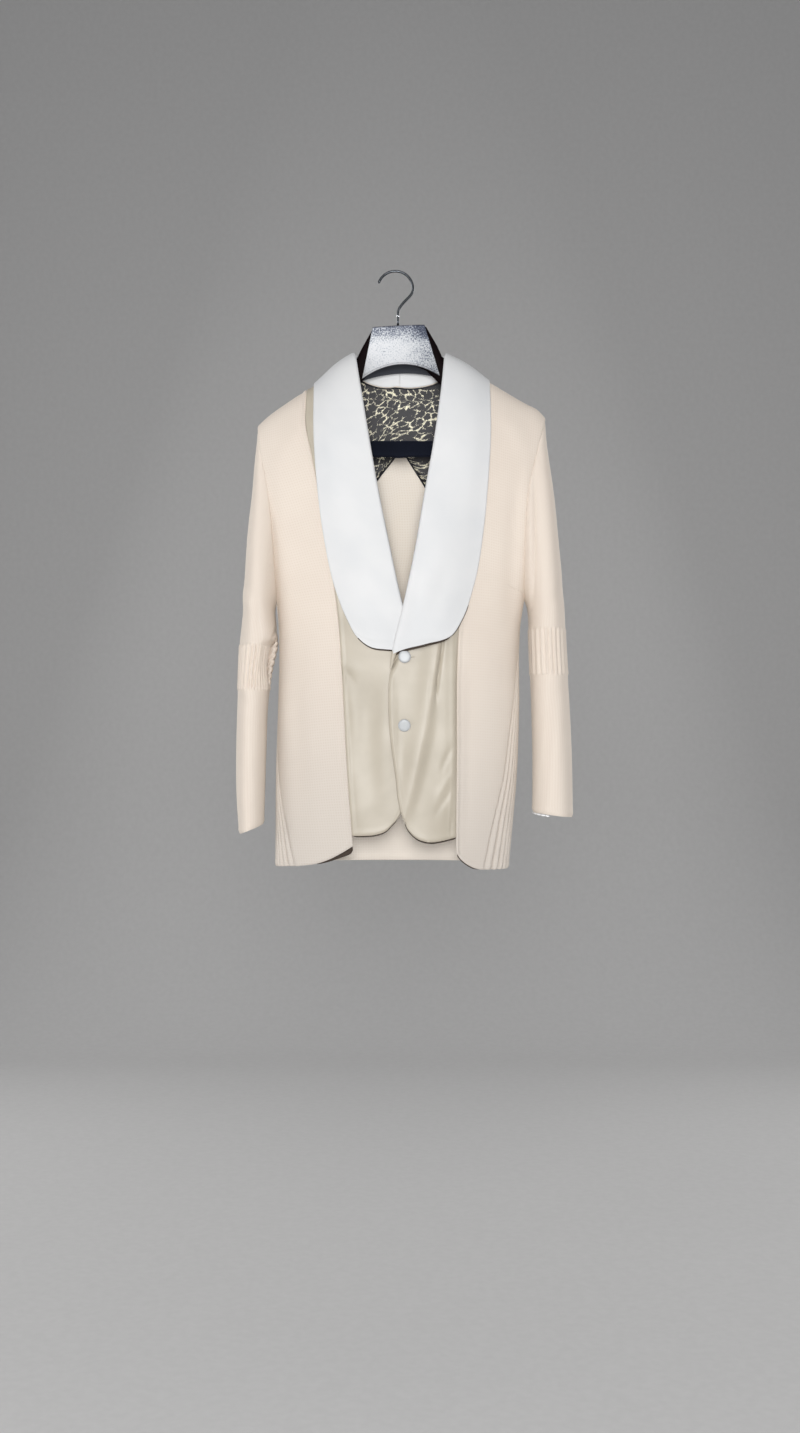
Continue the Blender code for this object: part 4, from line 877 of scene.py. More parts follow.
def sleeve_points(side):
    """Rings from the armhole, which is a steep loop, to the cuff, which is nearly level."""
    front = body_surface(*armhole_edge(side, -1).T)
    rear = body_surface(*armhole_edge(side, 1).T)
    loop = np.concatenate([front[::-1], rear[1:]])           # tip, front, underarm, back, tip
    turns = np.linspace(0, 2 * math.pi, len(loop))
    even = np.linspace(0, 2 * math.pi, TURN_STEPS + 1)
    elbow = sleeve_ring(side, even, sum(RIBS[side][:2]) / 2)
    steps = np.diff(elbow, axis=0)
    spread = np.maximum(np.abs(steps[:, 0]), RIB_SIDE[side] * np.linalg.norm(steps, axis=1))
    round_elbow = np.concatenate([[0], np.cumsum(spread)]) / spread.sum()
    place = np.linspace(0, 1, RIBS[side][2] * RIB_COLUMNS + 1)
    turn = np.interp(place, round_elbow, even)
    loop = np.stack([np.interp(turn, turns, loop[:, k]) for k in range(3)], axis=-1)
    share = np.interp(np.arange(ROWS_AT[-1] + 1), ROWS_AT, ROW_SHARES)[:, None]
    upper = np.clip(share / LEVEL_ROW, 0, 1)
    lower = np.clip((share - LEVEL_ROW) / (1 - LEVEL_ROW), 0, 1)
    outer_cuff, inner_cuff = CUFF[side]
    cuff = (outer_cuff + inner_cuff) / 2 + (outer_cuff - inner_cuff) / 2 * np.cos(turn)
    z = loop[:, 2] * (1 - upper) + LEVEL * upper
    z = z + (cuff - LEVEL) * lower
    blend = np.clip(1 - share / BLEND_ROW, 0, 1)[..., None] ** 2
    at_tip = 1 - HEAD_TIP * np.clip(1 - (1 - np.cos(turn)) / TIP_WIDE, 0, 1)
    tucked = loop - at_tip[:, None] * [SIGN[side] * HEAD_TUCK, 0.0, 0.0]
    points = sleeve_ring(side, turn, z) + blend * (tucked - sleeve_ring(side, turn, loop[:, 2]))
    fan = np.zeros(points.shape[:2])
    if side == "right":
        ahead = eased((LIP_AHEAD - points[..., 1]) / LIP_OVER)
        inside = eased((-np.cos(turn) - LIP_TURN) * LIP_RISE)
        z = np.clip(points[..., 2], ELBOW_LIP[-1][0], ELBOW_LIP[1][0])
        lip = np.maximum(0, spline(ELBOW_LIP, "out", z) - spline(SLEEVE, "right_inner", z))
        lip *= eased((points[..., 2] - ELBOW_LIP[-1][0]) / LIP_FOOT)
        open_here = np.clip(lip / LIP_OPEN, 0, 1) * inside
        behind = eased((points[..., 1] - FAN_FROM) / FAN_OVER) * (points[..., 1] < FAN_TO)
        fan = open_here * behind
        points[..., 0] -= lip * ahead * inside
        creased_here = np.exp(-((points[..., 1] - CREASE_AT) / CREASE_HALF) ** 2)
        points[..., 1] += ELBOW_CREASE * open_here * creased_here
    out = outward(points)
    out *= np.sign((out * (points - points.mean(axis=1, keepdims=True))).sum(axis=-1).mean())
    under = np.clip(1 - from_edge(points, "lower") / HEAD_FALL, 0, 1) ** HEAD_POWER
    points = points - out * (HEAD_DEPTH * under * at_tip)[..., None]
    front_half = points[..., 1] < spline(SLEEVE, "middle", points[..., 2])
    folded = creased(points, out, SLEEVE_FOLDS[side])
    softened = points + (folded - points) * np.where(front_half, 1, BACK_CREASES)[..., None]
    top, foot, count, half = RIBS[side]
    band = eased((top - points[..., 2]) / RIB_FADE) * eased((points[..., 2] - foot) / RIB_FADE)
    wave = 2 * np.exp(-(np.cos(math.pi * count * place) / RIB_CREST) ** 2) - RIB_LEVEL
    slant = (points[..., ::2] * FAN_SLANT).sum(axis=-1) / math.hypot(*FAN_SLANT) / FAN_PITCH
    fanned = 2 * (np.abs(np.sin(math.pi * slant)) ** FAN_CREST - FAN_LEVEL)
    ribs = half * band * wave * (1 - fan) + FAN_HALF * fanned * fan
    ribbed = softened + out * ribs[..., None]
    gather = eased((top - points[..., 2]) / RIB_DRAW) * eased((points[..., 2] - foot) / RIB_DRAW)
    drawn = 1 - RIB_PULL * gather[..., None] * np.array([1.0, 1.0, 0.0])
    middle = ribbed.mean(axis=1, keepdims=True)
    ribbed = middle + (ribbed - middle) * drawn
    ribbed[:, -1] = ribbed[:, 0]
    return edged(ribbed, out, "upper", HEM_ROLL)


sleeve_grids = {}
for side in SIGN:
    grid = sleeve_points(side)
    sleeve = cloth("sleeve_knit_" + side, grid, KNIT, ivory_knit, closed=True)
    placed(sleeve, grid, "ivory_knit", "hung", ["hanger_arms", "back_knit"], "sleeve_" + side)
    sleeve_grids[side] = grid

# --- Shawl collar -------------------------------------------------------------------------------
# The collar and lapels are one folded sheet of cool white satin on each side, joined at centre
# back. The under side is sewn in at the neck, and the upper side rolls over it and lies on the
# front. A line of edge stitching follows its lower end.

# Outer edge of each lapel, from its lower corner to the shoulder line: (across, height)
LAPEL = {
    "right": ((-0.0571, -0.5500), (-0.0714, -0.5252), (-0.0879, -0.4842), (-0.1066, -0.4021),
              (-0.1171, -0.3197), (-0.1220, -0.2432), (-0.1223, -0.1690)),
    "left": ((0.0749, -0.5491), (0.0943, -0.5214), (0.1109, -0.4761), (0.1275, -0.3813),
             (0.1333, -0.3195), (0.1374, -0.2447), (0.1367, -0.1650)),
}
# Lower edge of each lapel, from its point at the roll line outwards: (across, height)
LAPEL_FOOT = {
    "right": ((0.0264, -0.5740), (-0.0060, -0.5690), (-0.0407, -0.5632), (-0.0571, -0.5500)),
    "left": ((-0.0060, -0.5750), (0.0062, -0.5698), (0.0410, -0.5606), (0.0749, -0.5491)),
}
PLY = 0.0030             # middle of the front's cloth to the middle of the lapel's ply on it
LAPEL_ROWS, COLLAR_ROWS = 150, 50
SHAWL_FINE = 110         # steps across each row of the shawl that its plies are read from
UNDER_COLUMNS, FOLD_COLUMNS, UPPER_COLUMNS = 8, 10, 56
STAND_OFF = {"right": 0.0010, "left": 0.0085}    # how far each lapel's lower edge stands off
BELLY = {"right": 0.0022, "left": 0.0030}        # and its middle crowns between fold and edge
STAND_OFF_RUN, BELLY_RUN = 0.110, 0.050  # the first fades out over this height, the second fades in
STAND_OFF_FULL = 1.6     # the first is full at one over this share of the way to the edge
LEAST_BELLY, BELLY_POWER = 0.3, 1.5      # the least share of its crown, and how flat its sides are
STITCH_IN = 0.0085       # the edge stitching lies this far inside the lower edge
STITCH_HALF, STITCH_DEEP = 0.0011, 0.0009
TURN_RUN, TURN_DROP = 0.0018, 0.0009     # the outer edge is rolled under over this, by this
LAPEL_SATIN = 0.0016
SHADOW_LINE_ROWS = 60          # the painted shadow line runs along this many rows of the outer edge
SHAWL_FOLDS = {
    "right": (
        (((-0.0900, -0.430), (-0.0600, -0.442), (-0.0300, -0.440)), 0.0080, 0.0007),
        (((-0.1100, -0.230), (-0.0960, -0.300), (-0.0850, -0.380)), 0.0160, 0.0014),
        (((-0.0560, -0.470), (-0.0280, -0.520), (0.0020, -0.556)), 0.0160, -0.0014),
    ),
    "left": (
        (((0.1230, -0.210), (0.1130, -0.290), (0.1010, -0.380)), 0.0160, 0.0014),
        (((0.0760, -0.440), (0.0580, -0.500), (0.0440, -0.545)), 0.0140, -0.0016),
        (((0.0360, -0.460), (0.0280, -0.510), (0.0160, -0.556)), 0.0110, 0.0014),
    ),
}


def shawl_lines(side):
    """Each row of the shawl as (angle, height) from its fold to its outer edge, and its turn."""
    up = 1 - (1 - np.linspace(0, 1, LAPEL_ROWS + 1)) ** SHOULDER_CROWDING
    place = np.linspace(0, 1, SHAWL_FINE + 1)
    foot = LAPEL_FOOT[side]
    fold_z = foot[0][1] + (FRONT_EDGE[side][-1][0] - foot[0][1]) * up
    fold = np.stack([spline(FRONT_EDGE[side], "across", fold_z), fold_z], axis=-1)
    whole = [*foot[:-1], *LAPEL[side]]
    steps = np.linalg.norm(np.diff(np.array(whole), axis=0), axis=1)
    corner = steps[:len(foot) - 1].sum() / steps.sum()
    edge = run_through(whole, corner + (1 - corner) * up)
    lower = run_through(whole, corner * place)
    fold[-1, 1], edge[-1, 1] = shoulder(fold[-1, 0]), shoulder(edge[-1, 0])
    fold[0] = lower[0]
    upper = shoulder_run(fold[-1, 0], edge[-1, 0], place)
    dropped = [np.stack([run[:, 0], shoulder(run[:, 0]) - run[:, 1]], axis=-1)
               for run in (lower, upper, fold, edge)]
    front = patch(*dropped, place, up)
    front[..., 1] = shoulder(front[..., 0]) - np.maximum(front[..., 1], 0)
    turn = np.linspace(0, 1, COLLAR_ROWS + 1)[1:] ** SHOULDER_CROWDING
    rear = collar_line(side, turn[:, None], place[None, :])
    turns = np.concatenate([np.zeros(len(front)), turn])
    return np.concatenate([on_face(front, -1), on_face(rear, 1)]), turns


def read_at(grid, shares):
    """Rows of a grid read at these shares of the way from fold to edge."""
    place = np.linspace(0, 1, SHAWL_FINE + 1)
    shares = np.broadcast_to(shares, (len(grid), np.shape(shares)[-1]))
    return np.stack([np.stack([np.interp(s, place, row[:, k]) for k in range(3)], axis=-1)
                     for s, row in zip(shares, grid)])


def shawl_points(side):
    """Under ply, round the fold, and upper ply, from the lapel's foot over to centre back."""
    lines, turn = shawl_lines(side)
    base = body_surface(*np.moveaxis(lines, -1, 0))
    if side == "left":
        base = overlapped(base)
    out = np.cross(np.gradient(base, axis=1), np.gradient(base, axis=0))
    out /= np.maximum(np.linalg.norm(out, axis=-1, keepdims=True), 1e-12)
    out *= 1 if out[5, SHAWL_FINE // 2, 1] < 0 else -1
    into = base[:, 1] - base[:, 0]
    into /= np.linalg.norm(into, axis=-1, keepdims=True)
    middle = base[:, 0] + into * PLY
    width = np.linalg.norm(base[:, -1] - base[:, 0], axis=-1)
    first = (PLY / width)[:, None]
    reach = neck_seam(turn)[:, None]
    under = first + (reach - first) * np.linspace(1, 0, UNDER_COLUMNS + 1)[None, :-1]
    upper = first + (1 - first) * crowded(UPPER_COLUMNS, 0.5)[None, 1:]
    round_fold = np.radians(np.linspace(-90, 90, FOLD_COLUMNS + 1))
    fold = np.stack([middle + PLY * (out[:, 0] * np.sin(a) - into * np.cos(a)) for a in round_fold],
                    axis=1)
    up = from_edge(base, "lower")[:, SHAWL_FINE // 2]
    foot = np.clip(1 - up / STAND_OFF_RUN, 0, 1)[:, None]
    risen = np.clip(up / BELLY_RUN, LEAST_BELLY, 1)[:, None]
    lift = PLY + BELLY[side] * np.sin(math.pi * upper) ** BELLY_POWER * risen
    lift = lift + STAND_OFF[side] * foot ** 2 * eased(upper * STAND_OFF_FULL)
    top = read_at(base, upper) + read_at(out, upper) * lift[..., None]
    top = creased(top, read_at(out, upper), SHAWL_FOLDS[side])
    stitched = np.exp(-((from_edge(top, "lower") - STITCH_IN) / STITCH_HALF) ** 2)
    top = top - read_at(out, upper) * (STITCH_DEEP * stitched)[..., None]
    turned = np.clip(1 - from_edge(top, "outer") / TURN_RUN, 0, 1) ** 2
    top = top - read_at(out, upper) * (TURN_DROP * turned)[..., None]
    points = np.concatenate([read_at(base, under) - read_at(out, under) * PLY, fold, top], axis=1)
    return drawn_in(points, "upper", 0.0002, 0.004)


white_satin = heavy_satin("white_satin", "#D6D6D6", "#D0D1D2", 0.52, 0.28)
# The under ply shows as the stand inside the neck, in a lighter copy of the satin: painted light
painted_light_stand_satin = heavy_satin("painted_light_stand_satin", "#F8F8F8", "#F3F4F5", 0.50, 0.30)
shawls = {}
for side in SIGN:
    grid = shawl_points(side)
    lapel = cloth("shawl_satin_" + side, grid, LAPEL_SATIN, white_satin, painted_light_stand_satin)
    for face in lapel.data.polygons:
        face.material_index = int(face.index % (grid.shape[1] - 1) < UNDER_COLUMNS)
    placed(lapel, grid, "white_satin", "folded", ["front_satin_sheet_" + side, "back_knit"],
           "shawl_" + side)
    shawls[side] = lapel
    top = grid[:, UNDER_COLUMNS + FOLD_COLUMNS // 2:]
    rim, within = top[1:SHADOW_LINE_ROWS, -1], top[1:SHADOW_LINE_ROWS, -4]
    shadow_line_edges["lapel_" + side] = (np.concatenate([top[0], rim]),
                             np.concatenate([top[0] - top[3], rim - within]))

# --- Front roll end -----------------------------------------------------------------------------
# Below the lapel's point the left front's satin edge still turns over a little, as a cord-like
# roll that narrows to nothing at the upper button.

ROLL_LENGTH, ROLL_SATIN = 0.026, 0.0007
ROLL_THIN, ROLL_SWELL = 0.0009, 0.0019   # its radius at the foot, and how much more at the top
ROLL_ROWS, ROLL_COLUMNS = 40, 14
ROLL_ABOVE = 0.004       # it starts this far above the lapel's point
ROLL_FROM, ROLL_TO = -95, 150            # how far round it turns, in degrees
ROLL_WIDE, ROLL_TAIL, TAIL_FROM = 1.15, 0.5, 1.2     # its hidden side, from the last on, is wider


def roll_points():
    share = np.linspace(0, 1, ROLL_ROWS + 1)
    z = LAPEL_POINT["left"] + ROLL_ABOVE - ROLL_LENGTH * share
    x = spline(FRONT_EDGE["left"], "across", z)
    edge = overlapped(body_surface(*np.moveaxis(on_face(np.stack([x, z], axis=-1), -1), -1, 0)))
    radius = (ROLL_SWELL * (1 - share) ** 0.8 + ROLL_THIN)[:, None]
    turn = np.radians(np.linspace(ROLL_FROM, ROLL_TO, ROLL_COLUMNS + 1))[None, :]
    wide = ROLL_WIDE + ROLL_TAIL * (turn > TAIL_FROM) * (1 - share[:, None])
    dx = -radius * np.cos(turn) * wide + radius * 0.8
    dy = -radius * np.sin(turn)
    return np.stack([edge[:, None, 0] + dx, edge[:, None, 1] + dy,
                     np.broadcast_to(z[:, None], dx.shape)], axis=-1)


grid = roll_points()
roll_end = cloth("lapel_roll_end", grid, ROLL_SATIN, ivory_satin)
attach(roll_end, "root")

# --- Lining yoke --------------------------------------------------------------------------------
# A half lining of smooth printed twill covers the inside of the upper back. Its lower edge is cut
# to an inverted V, and it is bound all along with narrow dark tape.

YOKE_EDGE = {
    "right": ((-0.0030, -0.2690), (-0.0316, -0.3056), (-0.0620, -0.3560), (-0.1000, -0.4300),
              (-0.1400, -0.4900)),
    "left": ((0.0145, -0.2690), (0.0438, -0.3154), (0.0740, -0.3680), (0.1100, -0.4360),
             (0.1480, -0.4900)),
}
YOKE_CLEAR, PRINT = 0.0022, 0.0008
YOKE_BELOW = 0.040       # it starts this share of the fall below the collar's seam
YOKE_IN, YOKE_DROP = 0.020, 0.024    # and keeps this far in from the armhole and the shoulder
YOKE_SIDES, YOKE_NECK, YOKE_ROWS = 24, 60, 80
TAPE, TAPE_FLAT = 0.0013, 0.75           # half width of the bound edge, and how thick for that


def yoke_points():
    neck = neck_edge(YOKE_NECK, YOKE_BELOW)
    right, left = YOKE_EDGE["right"], YOKE_EDGE["left"]
    top = {}
    for side in SIGN:
        x = SIGN[side] * (SHOULDER_TIP[side] - YOKE_IN)
        top[side] = np.array([x, float(shoulder(x)) - YOKE_DROP])
    share = np.linspace(0, 1, YOKE_SIDES + 1)[:, None]
    upper = np.concatenate([
        (top["right"] + share * (neck[0] - top["right"]))[:-1], neck,
        (neck[-1] + share * (top["left"] - neck[-1]))[1:]])
    upper[:, 1] = np.minimum(upper[:, 1], shoulder(upper[:, 0]) - YOKE_DROP)
    half = len(upper) // 2
    lower = np.concatenate([run_through(right, np.linspace(1, 0, half)),
                            run_through(left, np.linspace(0, 1, len(upper) - half))])
    up = np.linspace(0, 1, YOKE_ROWS + 1)
    sides = []
    for side, foot in (("right", right[-1]), ("left", left[-1])):
        z = foot[1] + (top[side][1] - foot[1]) * up
        tip = float(shoulder(SIGN[side] * SHOULDER_TIP[side]))
        rise = (z - ARMPIT[side]) / (tip - ARMPIT[side])
        edge = np.stack([SIGN[side] * (spline(ARMHOLE, side, rise) - YOKE_IN), z], axis=-1)
        edge[0], edge[-1] = foot, top[side]
        sides.append(edge)
    across = np.linspace(0, 1, len(upper))
    grids = [past_back(on_face(e, 1)) for e in (lower, upper, sides[0], sides[1])]
    base = body_surface(*np.moveaxis(patch(*grids, across, up), -1, 0))
    back_lift = creased(base, outward(base), BACK_FOLDS) - base
    return base - outward(base) * (KNIT / 2 + YOKE_CLEAR + PRINT / 2) + back_lift


# Sizes in the print, in millimetres
PEBBLE, PETAL, SPECK, CLUMP, WANDER = 10.204, 3.0303, 1.9231, 16.129, 9.5238


def blotch_print():
    """Printed viscose twill: charcoal blotches 8 to 18 mm across on cream, parted by fine veins.

    The motifs are free-form pebbles and specks. The twill itself is too fine to show.
    """
    made, tree, shader = material("printed_lining_twill")
    cut = add(tree, "UVMap", {"uv_map": "cut"}).outputs["UV"]
    wander = add(tree, "TexNoise", inputs={"Vector": cut, "Scale": every(WANDER), "Detail": 5.0,
                                           "Roughness": 0.75})
    shift = add(tree, "VectorMath", {"operation": "SUBTRACT"},
                {0: wander.outputs["Color"], 1: (0.5, 0.5, 0.5)})
    warped = add(tree, "VectorMath", {"operation": "MULTIPLY_ADD"},
                 {0: shift.outputs["Vector"], 1: (0.0150, 0.0150, 0.0), 2: cut})
    place = warped.outputs["Vector"]
    pebbles = add(tree, "TexVoronoi", {"feature": "DISTANCE_TO_EDGE", "voronoi_dimensions": "2D"},
                  {"Vector": place, "Scale": every(PEBBLE), "Randomness": 1.0})
    petals = add(tree, "TexVoronoi", {"feature": "DISTANCE_TO_EDGE", "voronoi_dimensions": "2D"},
                 {"Vector": place, "Scale": every(PETAL), "Randomness": 1.0})
    clumps = add(tree, "TexNoise", inputs={"Vector": cut, "Scale": every(CLUMP), "Detail": 2.0,
                                           "Roughness": 0.55})
    specks = add(tree, "TexNoise", inputs={"Vector": place, "Scale": every(SPECK), "Detail": 2.0,
                                           "Roughness": 0.6})
    wide = add(tree, "MapRange", inputs={"Value": clumps.outputs["Fac"], "From Min": 0.40,
                                         "From Max": 0.64, "To Min": -0.004, "To Max": 0.125})
    veins = add(tree, "Math", {"operation": "LESS_THAN"},
                {0: pebbles.outputs["Distance"], 1: wide.outputs["Result"]})
    inner = add(tree, "MapRange", inputs={"Value": petals.outputs["Distance"], "From Min": 0.0,
                                          "From Max": 0.10, "To Min": 1.0, "To Max": 0.0})
    charcoal = add(tree, "ValToRGB", {"stops": ((0.0, "#131217"), (1.0, "#2E2B33"))},
                   {"Fac": inner.outputs["Result"]}).outputs["Color"]
    cream = add(tree, "ValToRGB", {"stops": ((0.54, "#FFF8DC"), (0.60, "#34313A"))},
                {"Fac": specks.outputs["Fac"]}).outputs["Color"]
    printed = add(tree, "Mix", {"data_type": "RGBA"},
                  {"Factor": veins.outputs["Value"], "A": charcoal, "B": cream})
    fill(tree, shader, {"Base Color": printed.outputs["Result"], "Roughness": 0.55,
                        "Sheen Weight": 0.10})
    return made


def toned(name, noise, stops, finish, relief=None, place="Generated", grain=(1.0, 1.0, 1.0)):
    """A plain finish: one noise tones it, and raises it where relief gives (strength, depth)."""
    made, tree, shader = material(name)
    drawn = add(tree, "Mapping", inputs={"Vector": add(tree, "TexCoord").outputs[place],
                                         "Scale": grain})
    toning = add(tree, "TexNoise", inputs={"Vector": drawn.outputs["Vector"], **noise})
    tone = add(tree, "ValToRGB", {"stops": stops}, {"Fac": toning.outputs["Fac"]})
    fill(tree, shader, {"Base Color": tone.outputs["Color"], **finish})
    if relief:
        bump = add(tree, "Bump", inputs={"Height": toning.outputs["Fac"], "Strength": relief[0],
                                         "Distance": relief[1]})
        fill(tree, shader, {"Normal": bump.outputs["Normal"]})
    return made


def dark_tape(name, dark, light):
    """Woven cotton binding tape, matt and dark, its rib finer than shows; it also draws the painted
    shadow lines under the hems and lapels.
    """
    return toned(name, {"Scale": 900.0, "Detail": 2.0}, ((0.3, dark), (0.7, light)),
                 {"Roughness": 0.85}, relief=(0.3, 0.0004))


def skin_over(name, rings, finish):
    """Closed rings of points joined into one smooth skin, with flat ends."""
    rows, columns = rings.shape[:2]
    index = np.arange(rows * columns).reshape(rows, columns)
    after = np.roll(index, -1, axis=1)
    faces = np.stack([index[:-1], after[:-1], after[1:], index[1:]], axis=-1).reshape(-1, 4)
    ends = [index[0][::-1].tolist(), index[-1].tolist()]
    mesh = bpy.data.meshes.new(name)
    mesh.from_pydata(rings.reshape(-1, 3), [], faces.tolist() + ends)
    mesh.shade_smooth()
    mesh.materials.append(finish)
    skin = bmesh.new()
    skin.from_mesh(mesh)
    bmesh.ops.recalc_face_normals(skin, faces=skin.faces)
    skin.to_mesh(mesh)
    skin.free()
    piece = into_scene(name, mesh)
    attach(piece, "root")
    return piece


def tube(name, path, radius, finish, sides=8, flat=1.0):
    """A bead of this radius swept along points; flat below 1 makes it thinner front to back."""
    path = np.asarray(path, float)
    ahead = np.gradient(path, axis=0)
    ahead /= np.linalg.norm(ahead, axis=-1, keepdims=True)
    face = np.array([0.0, -1.0, 0.0])
    across = np.cross(ahead, face)
    across /= np.linalg.norm(across, axis=-1, keepdims=True)
    turn = np.linspace(0, 2 * math.pi, sides, endpoint=False)
    size = np.broadcast_to(radius, (len(path),))[:, None, None]
    ring = (across[:, None] * np.cos(turn)[None, :, None]
            + np.cross(across, ahead)[:, None] * np.sin(turn)[None, :, None] * flat)
    return skin_over(name, path[:, None] + ring * size, finish)


grid = yoke_points()
yoke = cloth("lining_yoke_print", grid, PRINT, blotch_print(), round_edges=False)
placed(yoke, grid, "printed_lining", "hung", ["back_knit"], "lining_yoke")
binding_tape = dark_tape("blue_black_binding", "#17171D", "#26262E")
for name, path in (("yoke_binding_lower", grid[0]), ("yoke_binding_neck", grid[-1])):
    tube(name, path, TAPE, binding_tape, flat=TAPE_FLAT)

# --- Painted shadow lines -----------------------------------------------------------------------
# A thin dark brown tube lies just inside and a little below each front's hem and each lapel's
# edge. It is painted shadow: a fine dark line along the cutaways and lapels, and at the right
# front's knit corner it widens into the dark wedge of shade there.

SHADOW_LINE_IN, SHADOW_LINE_FLAT = 0.0030, 0.0014    # how far inside it lies, and the most it is thick
SHADOW_LINE_LOWER = 0.95     # how far below the edge its middle lies, in radii
# (share of the edge, radius) along each
SHADOW_LINES = {
    "satin_right": ((0.0, 0.0006), (0.1, 0.0013), (0.8, 0.0013), (0.9, 0.0005)),
    "satin_left": ((0.0, 0.0006), (0.1, 0.0014), (0.85, 0.0014), (0.95, 0.0005)),
    "knit_right": ((0.0, 0.0004), (0.05, 0.0014), (0.11, 0.0034), (0.18, 0.0046), (0.26, 0.0042),
                   (0.42, 0.0024), (0.62, 0.0006)),
    "knit_left": ((0.05, 0.0004), (0.2, 0.0012), (0.6, 0.0012), (0.8, 0.0004)),
    "lapel_right": ((0.0, 0.0006), (0.05, 0.0011), (0.6, 0.0011), (0.95, 0.0004)),
    "lapel_left": ((0.0, 0.0008), (0.05, 0.0018), (0.35, 0.0018), (0.55, 0.0012), (0.95, 0.0004)),
}
painted_shadow_tape = dark_tape("brown_painted_shadow_tape", "#30261F", "#4A3D33")
for name, (edge, away) in shadow_line_edges.items():
    shares, radii = zip(*SHADOW_LINES[name])
    steps = np.arange(int(shares[0] * len(edge)), int(shares[-1] * len(edge)))
    radius = np.interp(steps / len(edge), shares, radii)
    away = away / np.linalg.norm(away, axis=-1, keepdims=True)
    run = edge[steps] + away[steps] * (SHADOW_LINE_LOWER * radius[:, None]) + [0.0, SHADOW_LINE_IN, 0.0]
    tube("painted_shadow_line_" + name, run, radius, painted_shadow_tape,
         flat=min(1.0, SHADOW_LINE_FLAT / radius.max()))

# --- Cuff edge ----------------------------------------------------------------------------------
# Inside the left cuff a short length of white knitted scallop edging hangs down just below it.

CUFF_EDGING, EDGING_LOOPS = (0.2005, 0.2240), 6      # from and to across, and how many loops
EDGING_IN, EDGING_LOWER, EDGING_STEPS = 0.0040, 0.0024, 96
EDGING_THIN, EDGING_SWELL = 0.0006, 0.0010   # its radius between the loops, and what they add

rim = sleeve_grids["left"][-1]
rim = rim[(rim[:, 1] < 0) & (rim[:, 0] > CUFF_EDGING[0]) & (rim[:, 0] < CUFF_EDGING[1])]
share = np.linspace(0, 1, EDGING_STEPS + 1)
edging = np.stack([np.interp(share * (len(rim) - 1), np.arange(len(rim)), rim[:, k])
                   for k in range(3)], axis=-1) + [0.0, EDGING_IN, -EDGING_LOWER]
scallops = np.abs(np.sin(math.pi * EDGING_LOOPS * share))
# It takes the collar stand's satin, whose lighter white is painted light.
tube("cuff_edging", edging, EDGING_THIN + EDGING_SWELL * scallops, painted_light_stand_satin)

# --- Covered buttons ----------------------------------------------------------------------------
# Two flat-domed buttons covered in the collar's white satin close the fronts. Each one's thread
# shank comes up through a corded buttonhole in the left front, whose inner end shows beside it.

BUTTONS = {"upper": (0.0112, -0.5790), "lower": (0.0108, -0.6788)}   # (across, height) of each
BUTTON_LEANS = {"upper": -3.0, "lower": 9.0}         # degrees that each one's face leans down
BUTTON_RADIUS, BUTTON_THICK, BUTTON_CLEAR = 0.0092, 0.0036, 0.0010
BUTTON_SECTION = (       # from the crown to the middle of the back, in radii and thicknesses
    (0.00, 1.00), (0.25, 0.997), (0.48, 0.985), (0.66, 0.96), (0.78, 0.925), (0.86, 0.87),
    (0.92, 0.77), (0.965, 0.62), (0.995, 0.44), (0.995, 0.28), (0.96, 0.14), (0.89, 0.04),
    (0.80, 0.00), (0.40, -0.02), (0.00, -0.02),
)
BUTTON_STEPS = 56        # steps round each button
HOLE_LENGTH, HOLE_DROP, HOLE_CORD = 0.0165, 0.0006, 0.0009
HOLE_STEPS, HOLE_START = 16, 0.1         # the cord starts under the button, this share along
HOLE_TAPER = (0.8, 0.3)                  # and tapers by these shares at its last two steps


def on_front(across, height):
    """Point of the left front's outer face."""
    face = overlapped(body_surface(*np.moveaxis(on_face((across, height), -1), -1, 0)))
    return face - np.array([0.0, SATIN / 2, 0.0])


def covered_satin():
    """The collar's satin drawn tight over a metal button shell, so it is smoother and glossier.
    Its cool grey, darker than the collar's white, is painted shade and reflection.
    """
    made, tree, shader = material("button_satin")
    grain = add(tree, "TexNoise", inputs={"Scale": 1400.0, "Detail": 2.0})
    soil = add(tree, "TexNoise", inputs={"Scale": 160.0, "Detail": 2.0})
    # a cool grey darker than the collar's white: painted shade and reflection
    tone = add(tree, "ValToRGB", {"stops": ((0.3, "#B8BABB"), (0.7, "#AEB1B3"))},
               {"Fac": soil.outputs["Fac"]})
    fill(tree, shader, {"Base Color": tone.outputs["Color"]})
    bump = add(tree, "Bump", inputs={"Height": grain.outputs["Fac"], "Strength": 0.15,
                                     "Distance": 0.0002})
    fill(tree, shader, {"Normal": bump.outputs["Normal"], "Roughness": 0.34,
                        "Specular IOR Level": 0.50, "Sheen Weight": 0.10})
    return made


button_satin = covered_satin()
for name, (across, height) in BUTTONS.items():
    face = on_front(across, height)
    section = [(out * BUTTON_RADIUS, 0.0, up * BUTTON_THICK) for out, up in BUTTON_SECTION]
    mesh = bpy.data.meshes.new("covered_button_" + name)
    mesh.from_pydata(section, [(k, k + 1) for k in range(len(section) - 1)], [])
    button = into_scene("covered_button_" + name, mesh)
    button.location = face - np.array([0.0, BUTTON_CLEAR, 0.0])
    button.rotation_euler = (math.radians(90 + BUTTON_LEANS[name]), 0.0, 0.0)
    turned = button.modifiers.new("turned", "SCREW")
    turned.steps = turned.render_steps = BUTTON_STEPS
    turned.use_merge_vertices = True
    turned.merge_threshold = 1e-6
    turned.use_smooth_shade = True
    button.data.materials.append(button_satin)
    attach(button, "root")
    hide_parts("button_" + name)
    slit = [on_front(across + HOLE_LENGTH * share, height - HOLE_DROP * share)
            for share in np.linspace(HOLE_START, 1, HOLE_STEPS)]
    radius = np.append(np.ones(HOLE_STEPS - len(HOLE_TAPER)), HOLE_TAPER) * HOLE_CORD
    tube("buttonhole_" + name, slit, radius, ivory_satin)

# --- Hanger -------------------------------------------------------------------------------------
# A contoured beech hanger with broad rounded shoulders, stained and lacquered a very dark
# burgundy. It stays out of sight but for its two flares beside the neck piece.

HANGER_MIDDLE = 0.0035
